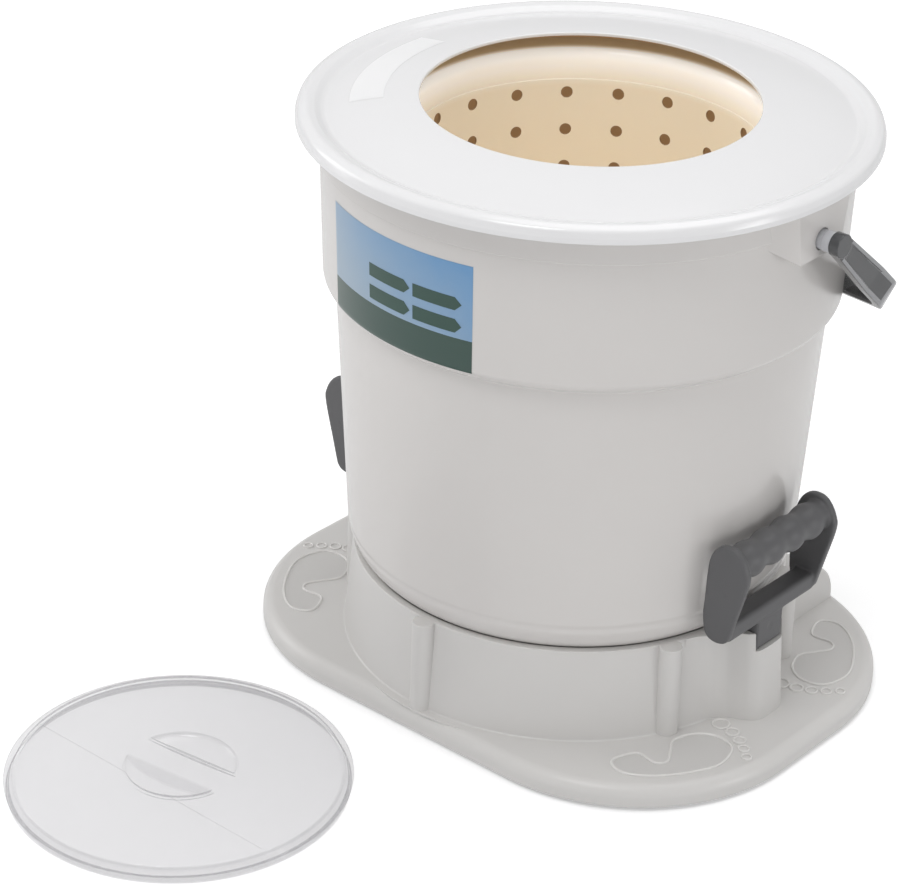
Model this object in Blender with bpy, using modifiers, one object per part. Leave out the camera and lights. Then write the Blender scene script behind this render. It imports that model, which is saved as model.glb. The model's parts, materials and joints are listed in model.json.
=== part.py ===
# Manual spin dryer: a tub on a foot plate, with a perforated basket that two pull ropes spin.
# Metres, +Z up. The origin is on the tub's axis at the level of the floor.
# +X runs through the right-hand pull handle and the carrying handle's pivots.

import math

import bmesh
import bpy
from mathutils import Matrix, Vector

for old in list(bpy.data.objects):
    bpy.data.objects.remove(old, do_unlink=True)

# Driving dimensions

# Shared
gap = 0.0003                      # clearance between pieces that touch
overrun = 0.004                   # how far a cutter runs past the face it opens
weld_distance = 0.00001           # points nearer than this are one point
fine_steps = 40                   # facets round the tub, cover and ring
medium_steps = 20                 # facets round the pulley, its ropes and the cup
small_steps = 16                  # facets round shafts, rollers and pins
screw_steps = 8                   # facets round screws and small holes
toe_steps = 6                     # facets round a footprint's toes

# Foot plate
foot_height = 0.003
foot_radius = 0.012
foot_plug_radius = 0.004
foot_plug_height = 0.0045
foot_inset_x = 0.0714             # from the plate's end to a foot's middle
foot_inset_y = 0.0675
plate_length = 0.4228
plate_width = 0.325
plate_corner_radius = 0.1287
plate_corner_steps = 6
plate_height = 0.0145
plate_wall = 0.003
plate_edge_round = 0.006

# Ring wall that holds the tub
ring_inner_radius = 0.1435
ring_top_wall = 0.0058
ring_foot_wall = 0.0115
ring_height = 0.066
ledge_width = 0.024
ledge_thickness = 0.003
tub_seat_depth = 0.0062
column_radius = 0.0075
column_circle_radius = 0.1525
column_recess_radius = 0.0042
column_recess_depth = 0.0035
column_top_drop = 0.0005          # tops of the columns and sockets below the ring's top
column_angles = (-90, -25, 25, 90, 155, 205)

# Sockets for the pull handles
socket_reach = 0.178
socket_draft = 0.0055
socket_blend_half_width = 0.040
socket_front_wall = 0.0045
socket_chamber_half_width = 0.0148
socket_chamber_back = 0.137
notch_half_width = 0.0145
notch_drop = 0.0135

# Drain hood and pipe
hood_low_x = 0.074
hood_high_x = 0.1215
hood_end_y = 0.151
hood_start_y = 0.098
hood_height = 0.0335
hood_round = 0.030
pipe_radius = 0.009
pipe_wall = 0.0018
pipe_x = 0.098
pipe_drop_y = 0.040
pipe_level = 0.0325
pipe_bend_radius = 0.018

# Footprints raised on the plate
footprint_height = 0.0007
footprint_line = 0.0022
print_inset_x = 0.0769            # from the plate's end to the sole's inner side
print_inset_y = 0.1160
sole_reach = 0.0500
sole_depth = 0.0760
toe_radius = 0.0058

# Bottom cover, its screws and the tub's screws
cover_plate_thickness = 0.003
centre_pad_radius = 0.022
screw_radius = 0.002
screw_head_radius = 0.0036
screw_head_height = 0.0017
column_hole_depth = 0.018
tub_screw_circle_radius = 0.1235
tub_screw_boss_radius = 0.005
tub_screw_boss_height = 0.0085
tub_screw_count = 4
tub_screw_first_angle = 55

# Outer tub
tub_wall = 0.0022
tub_floor_thickness = 0.003
tub_ring_clearance = 0.0005
tub_low_radius = 0.1535
tub_corner_height = 0.0245        # above the ring's top, where the bottom corner starts
tub_corner_steps = 4
tub_top_radius = 0.1741           # wall just under the collar
tub_upper_draft = 0.0027          # how much narrower the upper wall is just above the step
tub_step_depth = 0.0083
tub_step_drop = 0.1158            # below the tub's top edge, where the step ends
tub_step_rise = 0.0062
collar_step = 0.0022              # how far the collar stands out from the wall
collar_height = 0.0194
tub_top_height = 0.3138           # above the ring's top

# Ears for the carrying handle
ear_reach = 0.185
ear_depth = 0.019                 # from its face back into the tub's wall
ear_top_half_width = 0.0272
ear_low_half_width = 0.0217
ear_flare = 0.0184                # how much wider each side is at the back
ear_drop = 0.0168                 # face's lower edge below the collar
ear_rise = 0.0133                 # how much higher the underside is at the back
ear_hole_depth = 0.006
pivot_drop = 0.0268               # pivot line below the tub's top edge

# Top cover
rim_radius = 0.190
rim_lip_height = 0.0025           # lip's lower edge below the tub's top edge
cover_wall = 0.0024
opening_radius = 0.1102
opening_rise = 0.0137             # opening's edge above the tub's top edge
groove_radius = 0.1722
groove_rise = 0.0036
rim_crown_radius = 0.1822
rim_crown_rise = 0.0075
dome_shares = (0.25, 0.60, 1.00)
dome_fall_shares = (0.55, 0.45)   # straight and rounded parts of the fall to the groove
rim_shares = ((0.55, 0.12), (1.00, 0.65))

# Basket
basket_wall = 0.002
basket_top_radius = 0.1190        # inner face under the lip
basket_floor_radius = 0.1130
basket_floor_height = 0.0985      # inner floor above the ground
basket_lip_drop = 0.0009          # lip's top face under the tub's top edge
basket_lip_round = 0.0082
basket_lip_radius = 0.142
basket_lip_turn = 0.006
basket_band_drop = 0.0225         # thin step below the lip's top
basket_band_step = 0.0008
basket_hole_radius = 0.0042
basket_hole_sides = 6
basket_hole_count = 21
basket_hole_rows = 6
basket_hole_pitch = 0.027
basket_first_row_drop = 0.0317    # first row of holes below the lip's top
basket_hole_first_angle = 15.8
floor_hole_count = 12
floor_hole_circle_radius = 0.078
basket_hub_radius = 0.016
basket_hub_foot_radius = 0.030
basket_hub_rise = 0.0185
basket_hub_drop = 0.0045
basket_corner = 0.012
basket_corner_share = 0.25        # how far the chamfered corner stands off at its middle

# Shaft line
shaft_radius = 0.006
journal_radius = 0.005
journal_bottom = 0.0092
journal_top = 0.0150
shaft_collar_radius = 0.009
shaft_collar_height = 0.0026
washer_radius = 0.012
washer_thickness = 0.0015
nut_radius = 0.0095
nut_height = 0.008
nut_bore_depth = 0.006
lower_bearing_radius = 0.009
lower_bearing_height = 0.005
upper_bearing_radius = 0.011
upper_bearing_height = 0.008
upper_bearing_bottom = 0.0580
housing_flange_radius = 0.035
housing_flange_thickness = 0.0038
housing_body_radius = 0.0175
housing_neck_radius = 0.0145
housing_neck_top = 0.0885
housing_floor = 0.003
housing_screw_circle_radius = 0.027
housing_screw_count = 3
seal_height = 0.006
seal_radius = 0.0122
seal_drop = 0.0010

# Recoil spring and its cup
cup_radius = 0.038
cup_wall = 0.002
cup_floor = 0.002
cup_height = 0.0125
cup_boss_radius = 0.0122
cup_boss_height = 0.0072
spring_inner_radius = 0.0172
spring_outer_radius = 0.0345
spring_turns = 3
spring_steps_a_turn = 12
spring_strip = 0.0005
spring_width = 0.006
spring_lift = 0.0008

# Rope pulley and clutch
pulley_bottom = 0.0200
pulley_flange_radius = 0.040
pulley_flange = 0.002
groove_width = 0.006
groove_core_radius = 0.028
pulley_hub_radius = 0.015
pulley_hub_rise = 0.008
skirt_inner_radius = 0.0130
skirt_outer_radius = 0.0158
skirt_drop = 0.0085
clutch_radius = 0.0115
clutch_length = 0.016
clutch_lift = 0.003
winding_radius = 0.0345

# Ropes, rollers and handles
rope_radius = 0.0020
rope_x = 0.1655                   # where each rope rises to its handle
roller_radius = 0.010
roller_flange_radius = 0.0122
roller_half_width = 0.0055
roller_flange = 0.0018
roller_pin_radius = 0.0025
roller_pin_half_length = 0.0185
rope_turn_steps = 5
knot_radius = 0.0048

handle_half_width = 0.0507
handle_plate = 0.005
handle_back = 0.1512
handle_reach = 0.0335
handle_low = 0.0898
handle_tall = 0.0742
grip_centre_x = 0.1708
grip_centre_z = 0.1493
grip_radius = 0.0122
grip_wave = 0.0022
grip_waves = 4
grip_sections = 13
grip_sides = 12
bar_back_x = 0.1565
bar_front_x = 0.1722
bar_low_z = 0.0912
bar_top_z = 0.1045
stem_half_width = 0.0140
stem_back_x = 0.1600
stem_front_x = 0.1712
pocket_half_width = 0.0075
pocket_low_z = 0.0885
pocket_top_z = 0.1000

# Carrying handle
bail_side_clearance = 0.0095      # between the ear's face and the strap's flanges
bail_leg = 0.0820                 # from the pivot to the corner
bail_leg_angle = 43               # below level, towards +Y
bail_bow_angle = 29               # the bow's own slope
bail_turn = 45                    # heading after the corner, from straight out
bail_corner_radius = 0.020
bail_straight = 0.120             # from the corner to where the bow starts to curve
bail_lean = 8                     # outward lean of the strap's upper edge
bail_depth = 0.007
bail_web = 0.0022
bail_end_half_width = 0.0076
bail_half_width = 0.0098
bail_taper_length = 0.055
bail_corner_steps = 4
bail_bow_steps = 6
pivot_radius = 0.0070

# Clear lid, lying on the floor beside the dryer
lid_x = -0.074
lid_y = -0.307
lid_radius = 0.114
lid_steps = 36
lid_skirt_radius = 0.1085
lid_skirt_height = 0.0055
lid_wall = 0.002
lid_rise = 0.005                  # top plate above the rim's underside
lid_step_radius = 0.1065
well_radius = 0.037
well_bar_half_width = 0.008
well_depth = 0.0070
well_wall = 0.0018
well_sides = 9

# Sizes that follow

plate_bottom = foot_height
plate_top = plate_bottom + plate_height
ring_top = plate_top + ring_height
tub_bottom = ring_top - tub_seat_depth
ledge_top = tub_bottom - gap
tub_top = ring_top + tub_top_height
collar_bottom = tub_top - collar_height - (cover_wall + gap)
pivot_z = tub_top - pivot_drop
cover_seat = tub_top + gap
opening_z = tub_top + opening_rise
basket_lip_z = tub_top - basket_lip_drop
cover_plate_top = plate_bottom + cover_plate_thickness
right_groove_z = pulley_bottom + pulley_flange + groove_width / 2
left_groove_z = right_groove_z + groove_width + pulley_flange
roller_x = rope_x - roller_radius - rope_radius
foot_place_x = plate_length / 2 - foot_inset_x
foot_place_y = plate_width / 2 - foot_inset_y
print_place_x = plate_length / 2 - print_inset_x
print_place_y = plate_width / 2 - print_inset_y
tub_step_low = tub_top - tub_step_drop
tub_step_top = tub_step_low + tub_step_rise
tub_step_high_radius = tub_top_radius - tub_upper_draft
tub_step_low_radius = tub_step_high_radius - tub_step_depth
collar_radius = tub_top_radius + collar_step
bail_half_span = ear_reach + bail_side_clearance + bail_depth
column_hole_end = cover_plate_top + column_hole_depth
boss_hole_end = tub_bottom + tub_screw_boss_height - tub_wall


# Collections and materials

def new_collection(name):
    collection = bpy.data.collections.new(name)
    bpy.context.scene.collection.children.link(collection)
    return collection


dryer = new_collection("manual_spin_dryer")
cutters = new_collection("cutters")


def new_material(name, colour, roughness, metallic=0.0, alpha=1.0):
    material = bpy.data.materials.new(name)
    material.use_nodes = True
    shader = material.node_tree.nodes["Principled BSDF"]
    shader.inputs["Base Color"].default_value = (*colour, 1.0)
    shader.inputs["Roughness"].default_value = roughness
    shader.inputs["Metallic"].default_value = metallic
    shader.inputs["Alpha"].default_value = alpha
    material.diffuse_color = (*colour, alpha)
    return material


white_plastic = new_material("white_plastic", (0.86, 0.86, 0.87), 0.22)
tub_plastic = new_material("tub_plastic", (0.68, 0.67, 0.65), 0.30)
base_plastic = new_material("base_plastic", (0.62, 0.62, 0.61), 0.45)
cream_plastic = new_material("cream_plastic", (0.80, 0.68, 0.50), 0.35)
dark_plastic = new_material("dark_plastic", (0.11, 0.11, 0.12), 0.50)
grey_plastic = new_material("grey_plastic", (0.13, 0.14, 0.14), 0.30)
pin_plastic = new_material("pin_plastic", (0.30, 0.32, 0.34), 0.30)
clear_plastic = new_material("clear_plastic", (0.93, 0.94, 0.95), 0.05, alpha=0.3)
black_plastic = new_material("black_plastic", (0.03, 0.03, 0.03), 0.50)
pale_nylon = new_material("pale_nylon", (0.75, 0.74, 0.70), 0.45)
steel = new_material("steel", (0.62, 0.62, 0.63), 0.30, metallic=1.0)
spring_steel = new_material("spring_steel", (0.22, 0.23, 0.26), 0.35, metallic=1.0)
rubber = new_material("rubber", (0.05, 0.05, 0.05), 0.80)
rope_fibre = new_material("rope_fibre", (0.55, 0.55, 0.52), 0.85)


# Modelling helpers

def add_object(name, mesh, material=None):
    # A piece of the dryer has a material; a guide shape has none and stays out of the render
    item = bpy.data.objects.new(name, mesh)
    if material is None:
        cutters.objects.link(item)
        item.hide_render = True
        item.display_type = "WIRE"
    else:
        dryer.objects.link(item)
        item.data.materials.append(material)
        mesh.shade_smooth()
        mesh.set_sharp_from_angle(angle=math.radians(35))
    return item


def mesh_from(bm, name):
    bmesh.ops.recalc_face_normals(bm, faces=bm.faces[:])
    mesh = bpy.data.meshes.new(name)
    bm.to_mesh(mesh)
    bm.free()
    return mesh


def box(name, low, high, material=None, edge=0.0, edges=None):
    # edges picks which edges are rounded, by the two corner points of each edge
    bm = bmesh.new()
    bmesh.ops.create_cube(bm, size=1.0)
    low, high = Vector(low), Vector(high)
    bmesh.ops.scale(bm, vec=high - low, verts=bm.verts[:])
    bmesh.ops.translate(bm, vec=(low + high) / 2, verts=bm.verts[:])
    if edge:
        chosen = [e for e in bm.edges if edges is None or edges(e.verts[0].co, e.verts[1].co)]
        bmesh.ops.bevel(bm, geom=chosen, offset=edge, segments=3, profile=0.5, affect="EDGES")
    return add_object(name, mesh_from(bm, name), material)


def rod(name, start, end, radius, material=None, steps=None, end_radius=None):
    # A cylinder, or a cone where end_radius is given, between two points
    start, end = Vector(start), Vector(end)
    along = end - start
    turn = along.to_track_quat("Z", "Y").to_matrix().to_4x4()
    bm = bmesh.new()
    bmesh.ops.create_cone(bm, cap_ends=True, segments=steps or small_steps, radius1=radius,
                          radius2=radius if end_radius is None else end_radius, depth=along.length,
                          matrix=Matrix.Translation((start + end) / 2) @ turn)
    return add_object(name, mesh_from(bm, name), material)


def turned(name, profile, material=None, steps=None, centre=(0, 0)):
    # A profile of (radius, height) points turned round the vertical line through centre
    count = len(profile)
    area = sum(profile[i][0] * profile[(i + 1) % count][1] - profile[(i + 1) % count][0] * profile[i][1]
               for i in range(count))
    points = list(profile) if area < 0 else list(reversed(profile))
    on_axis = [i for i, (r, z) in enumerate(points) if r == 0]
    closed = not on_axis
    if on_axis:
        # The run starts and ends on the axis, top to bottom
        first = max(on_axis, key=lambda i: points[i][1])
        points = points[first:] + points[:first]
    bm = bmesh.new()
    verts = [bm.verts.new((r, 0, z)) for r, z in points]
    for a, b in zip(verts, verts[1:]):
        bm.edges.new((a, b))
    if closed:
        bm.edges.new((verts[-1], verts[0]))
    mesh = bpy.data.meshes.new(name)
    bm.to_mesh(mesh)
    bm.free()
    item = add_object(name, mesh, material)
    item.location = (centre[0], centre[1], 0)
    screw = item.modifiers.new("turn", "SCREW")
    screw.steps = steps or fine_steps
    screw.render_steps = screw.steps
    screw.use_merge_vertices = True
    screw.merge_threshold = weld_distance
    return item


def solid_copy(item, name, material=None):
    # The evaluated shape of item as a plain mesh, and item itself removed
    bpy.context.view_layer.update()
    graph = bpy.context.evaluated_depsgraph_get()
    mesh = bpy.data.meshes.new_from_object(item.evaluated_get(graph))
    place = item.matrix_world.copy()
    bpy.data.objects.remove(item, do_unlink=True)
    bm = bmesh.new()
    bm.from_mesh(mesh)
    bm.transform(place)
    bmesh.ops.remove_doubles(bm, verts=bm.verts[:], dist=weld_distance)
    clean = mesh_from(bm, name)
    return add_object(name, clean, material)


def slab(name, outline, bottom, top, material=None, hole=None):
    # A flat outline of (x, y) points, with an optional hole, filled between two heights
    curve = bpy.data.curves.new(name, "CURVE")
    curve.dimensions = "2D"
    curve.fill_mode = "BOTH"
    curve.extrude = (top - bottom) / 2
    for loop in (outline, hole):
        if loop is None:
            continue
        spline = curve.splines.new("POLY")
        spline.points.add(len(loop) - 1)
        for point, (x, y) in zip(spline.points, loop):
            point.co = (x, y, 0, 1)
        spline.use_cyclic_u = True
    item = bpy.data.objects.new(name + "_outline", curve)
    cutters.objects.link(item)
    item.location = (0, 0, (top + bottom) / 2)
    return solid_copy(item, name, material)


def tube(name, points, radius, material=None, resolution=2):
    curve = bpy.data.curves.new(name, "CURVE")
    curve.dimensions = "3D"
    curve.bevel_depth = radius
    curve.bevel_resolution = resolution
    curve.use_fill_caps = True
    spline = curve.splines.new("POLY")
    spline.points.add(len(points) - 1)
    for point, place in zip(spline.points, points):
        point.co = (*place, 1)
    item = bpy.data.objects.new(name + "_line", curve)
    cutters.objects.link(item)
    return solid_copy(item, name, material)


def loft(name, rings, material=None, flat_faces=False):
    # A closed skin through rings of as many points each, capped at both ends
    bm = bmesh.new()
    loops = [[bm.verts.new(point) for point in ring] for ring in rings]
    count = len(rings[0])
    for near, far in zip(loops, loops[1:]):
        for i in range(count):
            j = (i + 1) % count
            bm.faces.new((near[i], near[j], far[j], far[i]))
    bm.faces.new(loops[0])
    bm.faces.new(loops[-1])
    if flat_faces:
        bmesh.ops.triangulate(bm, faces=bm.faces[:])
    return add_object(name, mesh_from(bm, name), material)


def set_origin(item, place):
    # The shape stays where it is, and the object's origin moves to place
    place = Vector(place)
    item.data.transform(Matrix.Translation(-place))
    item.location = place


def boolean(item, other, operation):
    modifier = item.modifiers.new(other.name, "BOOLEAN")
    modifier.operation = operation
    modifier.object = other
    modifier.solver = "EXACT"


def cut(item, *others):
    for other in others:
        boolean(item, other, "DIFFERENCE")


def join(item, *others):
    for other in others:
        boolean(item, other, "UNION")


def gathered(name, items, material=None):
    # Several separate solids as one object
    bm = bmesh.new()
    bpy.context.view_layer.update()
    graph = bpy.context.evaluated_depsgraph_get()
    for item in items:
        mesh = bpy.data.meshes.new_from_object(item.evaluated_get(graph))
        mesh.transform(item.matrix_world)
        bm.from_mesh(mesh)
        bpy.data.meshes.remove(mesh)
    for item in items:
        bpy.data.objects.remove(item, do_unlink=True)
    bmesh.ops.remove_doubles(bm, verts=bm.verts[:], dist=weld_distance)
    return add_object(name, mesh_from(bm, name), material)


def places_at(radius, angles):
    return [(radius * math.cos(math.radians(a)), radius * math.sin(math.radians(a))) for a in angles]


def ring_places(radius, count, first_angle):
    return places_at(radius, [first_angle + 360 * i / count for i in range(count)])


column_places = places_at(column_circle_radius, column_angles)
tub_screw_places = ring_places(tub_screw_circle_radius, tub_screw_count, tub_screw_first_angle)
housing_screw_places = ring_places(housing_screw_circle_radius, housing_screw_count, tub_screw_first_angle)


def rounded_rectangle(half_x, half_y, corner):
    points = []
    for k, (sx, sy) in enumerate(((1, 1), (-1, 1), (-1, -1), (1, -1))):
        for i in range(plate_corner_steps + 1):
            a = math.radians(90 * (k + i / plate_corner_steps))
            points.append((sx * (half_x - corner) + corner * math.cos(a),
                           sy * (half_y - corner) + corner * math.sin(a)))
    return points


def screws_up(name, places, under, hole_end):
    # Screws pointing up, their heads against the face at the height under
    head_top = under - gap
    head_bottom = head_top - screw_head_height
    tip = hole_end - 2 * gap
    profile = [(0, tip), (screw_radius, tip), (screw_radius, head_top),
               (screw_head_radius, head_top), (screw_head_radius, head_bottom), (0, head_bottom)]
    for number, place in enumerate(places, start=1):
        turned("%s_%d" % (name, number), profile, steel, steps=screw_steps, centre=place)


# Footprints: outlines as shares of the print's reach and depth

sole_shares = ((0.00, 0.87), (0.04, 0.97), (0.29, 1.00), (0.64, 0.84), (0.94, 0.58), (1.10, 0.32),
               (0.99, 0.06), (0.68, 0.00), (0.41, 0.10), (0.29, 0.30), (0.41, 0.46), (0.54, 0.60),
               (0.43, 0.70), (0.14, 0.69))
toe_shares = ((0.54, -0.16, 1.00), (0.77, -0.12, 0.78), (0.95, -0.07, 0.70), (1.11, 0.00, 0.62),
              (1.23, 0.08, 0.55))


def offset_loop(points, distance):
    # Each point moved inwards, square to the loop
    count = len(points)
    area = sum(points[i][0] * points[(i + 1) % count][1] - points[(i + 1) % count][0] * points[i][1]
               for i in range(count))
    side = 1 if area > 0 else -1
    result = []
    for i in range(count):
        before, after = Vector(points[i - 1]), Vector(points[(i + 1) % count])
        along = (after - before).normalized()
        result.append((points[i][0] - side * distance * along.y, points[i][1] + side * distance * along.x))
    return result


def footprint_lines(sign_x, sign_y):
    # The raised lines of one print: the sole's outline and five toes
    def place(x, y):
        return (sign_x * x, sign_y * y)

    base_z = plate_top - footprint_height
    top_z = plate_top + footprint_height
    sole = [(print_place_x + a * sole_reach, print_place_y + b * sole_depth) for a, b in sole_shares]
    inner = offset_loop(sole, footprint_line)
    lines = [slab("sole_line", [place(*p) for p in sole], base_z, top_z, hole=[place(*p) for p in inner])]
    for along, across, size in toe_shares:
        x, y = place(print_place_x + along * sole_reach, print_place_y + across * sole_depth)
        lines.append(rod("toe", (x, y, base_z), (x, y, top_z), toe_radius * size, steps=toe_steps))
    return lines


# Socket block: outline as shares of its reach beyond the ring and of its blend's half-width

socket_shares = ((0.03, 1.12), (0.16, 1.00), (0.275, 0.80), (0.42, 0.625), (0.68, 0.50), (0.855, 0.3875),
                 (0.97, 0.275), (1.00, 0.125))


def socket_outline(side, reach, breadth):
    run = reach - ring_inner_radius
    half = [(side * (ring_inner_radius + a * run), b * breadth) for a, b in socket_shares]
    return half + [(x, -y) for x, y in reversed(half)]


def add_socket(shell, side):
    foot = socket_outline(side, socket_reach, socket_blend_half_width)
    foot = [(x, y, plate_top - plate_wall) for x, y in foot]
    head = socket_outline(side, socket_reach - socket_draft, socket_blend_half_width)
    head = [(x, y, ring_top - column_top_drop) for x, y in head]
    join(shell, loft("socket_block", [foot, head]))


def cut_socket(shell, side):
    # The chamber for the stem, rope and roller, and the notch in the front wall
    front = socket_reach - socket_draft - socket_front_wall
    ends = sorted((side * socket_chamber_back, side * front))
    half = socket_chamber_half_width
    floor = cover_plate_top + overrun
    cut(shell, box("socket_chamber", (ends[0], -half, floor), (ends[1], half, ring_top + overrun)))
    ends = sorted((side * (front - overrun), side * (socket_reach + overrun)))
    half = notch_half_width
    cut(shell, box("socket_notch", (ends[0], -half, ring_top - notch_drop), (ends[1], half, ring_top + overrun)))
    roller_z = right_groove_z if side > 0 else left_groove_z
    roller_z = roller_z + roller_radius + rope_radius
    reach = roller_pin_half_length + gap
    x = side * roller_x
    cut(shell, rod("pin_hole", (x, -reach, roller_z), (x, reach, roller_z), roller_pin_radius + gap,
                   steps=screw_steps))


# Base

def base_shell():
    half_x, half_y = plate_length / 2, plate_width / 2
    shell = slab("base_shell", rounded_rectangle(half_x, half_y, plate_corner_radius), plate_bottom, plate_top,
                 base_plastic)
    edge = shell.modifiers.new("edge", "BEVEL")
    edge.width = plate_edge_round
    edge.segments = 2
    edge.limit_method = "WEIGHT"
    mark_edges(shell, lambda a, b: abs(a.z - plate_top) < weld_distance and abs(b.z - plate_top) < weld_distance)
    hollow = slab("plate_hollow", rounded_rectangle(half_x - plate_wall, half_y - plate_wall,
                                                    plate_corner_radius - plate_wall),
                  plate_bottom - overrun, plate_top - plate_wall)
    cut(shell, hollow)
    wall_foot = ring_inner_radius + ring_foot_wall
    wall_head = ring_inner_radius + ring_top_wall
    wall_base = plate_top - plate_wall
    wall_root = wall_foot + (wall_foot - wall_head) * plate_wall / ring_height
    wall = turned("ring_wall", [(ring_inner_radius, ring_top), (wall_head, ring_top), (wall_root, wall_base),
                                (ring_inner_radius, wall_base)])
    join(shell, wall)
    for x, y in column_places:
        join(shell, rod("column", (x, y, cover_plate_top + gap), (x, y, ring_top - column_top_drop), column_radius))
    for side in (1, -1):
        add_socket(shell, side)
    join(shell, drain_hood())
    for sign_x in (1, -1):
        for sign_y in (1, -1):
            join(shell, *footprint_lines(sign_x, sign_y))
    cut(shell, rod("mechanism_well", (0, 0, plate_bottom), (0, 0, ring_top + overrun), ring_inner_radius,
                   steps=fine_steps))
    ledge_low = ledge_top - ledge_thickness
    ledge_inner = ring_inner_radius - ledge_width
    ledge_outer = ring_inner_radius + overrun
    ledge = turned("tub_ledge", [(ledge_inner, ledge_top), (ledge_outer, ledge_top), (ledge_outer, ledge_low),
                                 (ledge_inner, ledge_low)])
    join(shell, ledge)
    for side in (1, -1):
        cut_socket(shell, side)
    for x, y in column_places:
        cut(shell, rod("column_screw_hole", (x, y, plate_bottom), (x, y, column_hole_end),
                       screw_radius + gap, steps=screw_steps))
        cut(shell, rod("column_recess", (x, y, ring_top - column_recess_depth), (x, y, ring_top + overrun),
                       column_recess_radius, steps=screw_steps))
    for x, y in tub_screw_places:
        cut(shell, rod("ledge_hole", (x, y, ledge_low - overrun), (x, y, ledge_top + overrun), screw_radius + gap,
                       steps=screw_steps))
    # The pipe's way through the ring and the hood's end wall
    cut(shell, rod("pipe_way", (pipe_x, pipe_drop_y + pipe_bend_radius, pipe_level),
                   (pipe_x, hood_end_y + overrun, pipe_level), pipe_radius + gap))
    return shell


def mark_edges(item, chosen):
    weights = item.data.attributes.new("bevel_weight_edge", "FLOAT", "EDGE")
    for edge in item.data.edges:
        a, b = (item.data.vertices[i].co for i in edge.vertices)
        if chosen(a, b):
            weights.data[edge.index].value = 1.0


def drain_hood():
    low = (hood_low_x, hood_start_y, plate_top - plate_wall)
    high = (hood_high_x, hood_end_y, plate_top + hood_height)

    def outer_top(a, b):
        return min(a.z, b.z) > high[2] - weld_distance and min(a.y, b.y) > high[1] - weld_distance

    return box("drain_hood", low, high, edge=hood_round, edges=outer_top)


def bottom_cover():
    inset = plate_wall + gap
    half_x, half_y = plate_length / 2 - inset, plate_width / 2 - inset
    cover = slab("bottom_cover", rounded_rectangle(half_x, half_y, plate_corner_radius - inset),
                 plate_bottom, cover_plate_top, black_plastic)
    join(cover, rod("centre_pad", (0, 0, 0), (0, 0, cover_plate_top - gap), centre_pad_radius))
    for x, y in column_places:
        cut(cover, rod("cover_hole", (x, y, plate_bottom - overrun), (x, y, cover_plate_top + overrun),
                       screw_radius + gap, steps=screw_steps))
    for sx in (1, -1):
        for sy in (1, -1):
            x, y = sx * foot_place_x, sy * foot_place_y
            cut(cover, rod("foot_hole", (x, y, plate_bottom - overrun), (x, y, cover_plate_top + overrun),
                           foot_plug_radius + gap, steps=screw_steps))
    return cover


def rubber_foot(index, x, y):
    pad_top = plate_bottom - gap
    plug_top = pad_top + foot_plug_height
    profile = [(0, plug_top), (foot_plug_radius, plug_top), (foot_plug_radius, pad_top), (foot_radius, pad_top),
               (foot_radius, 0), (0, 0)]
    return turned("rubber_foot_%d" % index, profile, rubber, steps=screw_steps, centre=(x, y))


def drain_pipe():
    # From the tub's floor down, round a bend and out through the hood
    top = tub_bottom + tub_floor_thickness / 2
    bend = [(pipe_x, pipe_drop_y + pipe_bend_radius * (1 - math.cos(math.radians(a))),
             pipe_level + pipe_bend_radius * (1 - math.sin(math.radians(a)))) for a in range(0, 91, 15)]
    route = [(pipe_x, pipe_drop_y, top)] + bend + [(pipe_x, hood_end_y, pipe_level)]
    bore = [(pipe_x, pipe_drop_y, top + overrun)] + bend + [(pipe_x, hood_end_y + overrun, pipe_level)]
    pipe = tube("drain_pipe", route, pipe_radius, black_plastic, resolution=3)
    cut(pipe, tube("pipe_bore", bore, pipe_radius - pipe_wall, resolution=3))
    return pipe


# Tub

def tub_outside():
    # Outer face from the collar's top edge down to the floor's edge
    corner_top = ring_top + tub_corner_height
    seat_share = (corner_top - ring_top) / (corner_top - tub_bottom)
    width_share = math.sqrt(1 - seat_share ** 2)
    tight = ring_inner_radius - tub_ring_clearance
    floor_edge = (tight - tub_low_radius * width_share) / (1 - width_share)
    points = [(collar_radius, tub_top - cover_wall), (collar_radius, collar_bottom), (tub_top_radius, collar_bottom),
              (tub_step_high_radius, tub_step_top), (tub_step_low_radius, tub_step_low)]
    for i in range(tub_corner_steps + 1):
        a = math.radians(90 * i / tub_corner_steps)
        points.append((floor_edge + (tub_low_radius - floor_edge) * math.cos(a),
                       corner_top - (corner_top - tub_bottom) * math.sin(a)))
    return points


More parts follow.
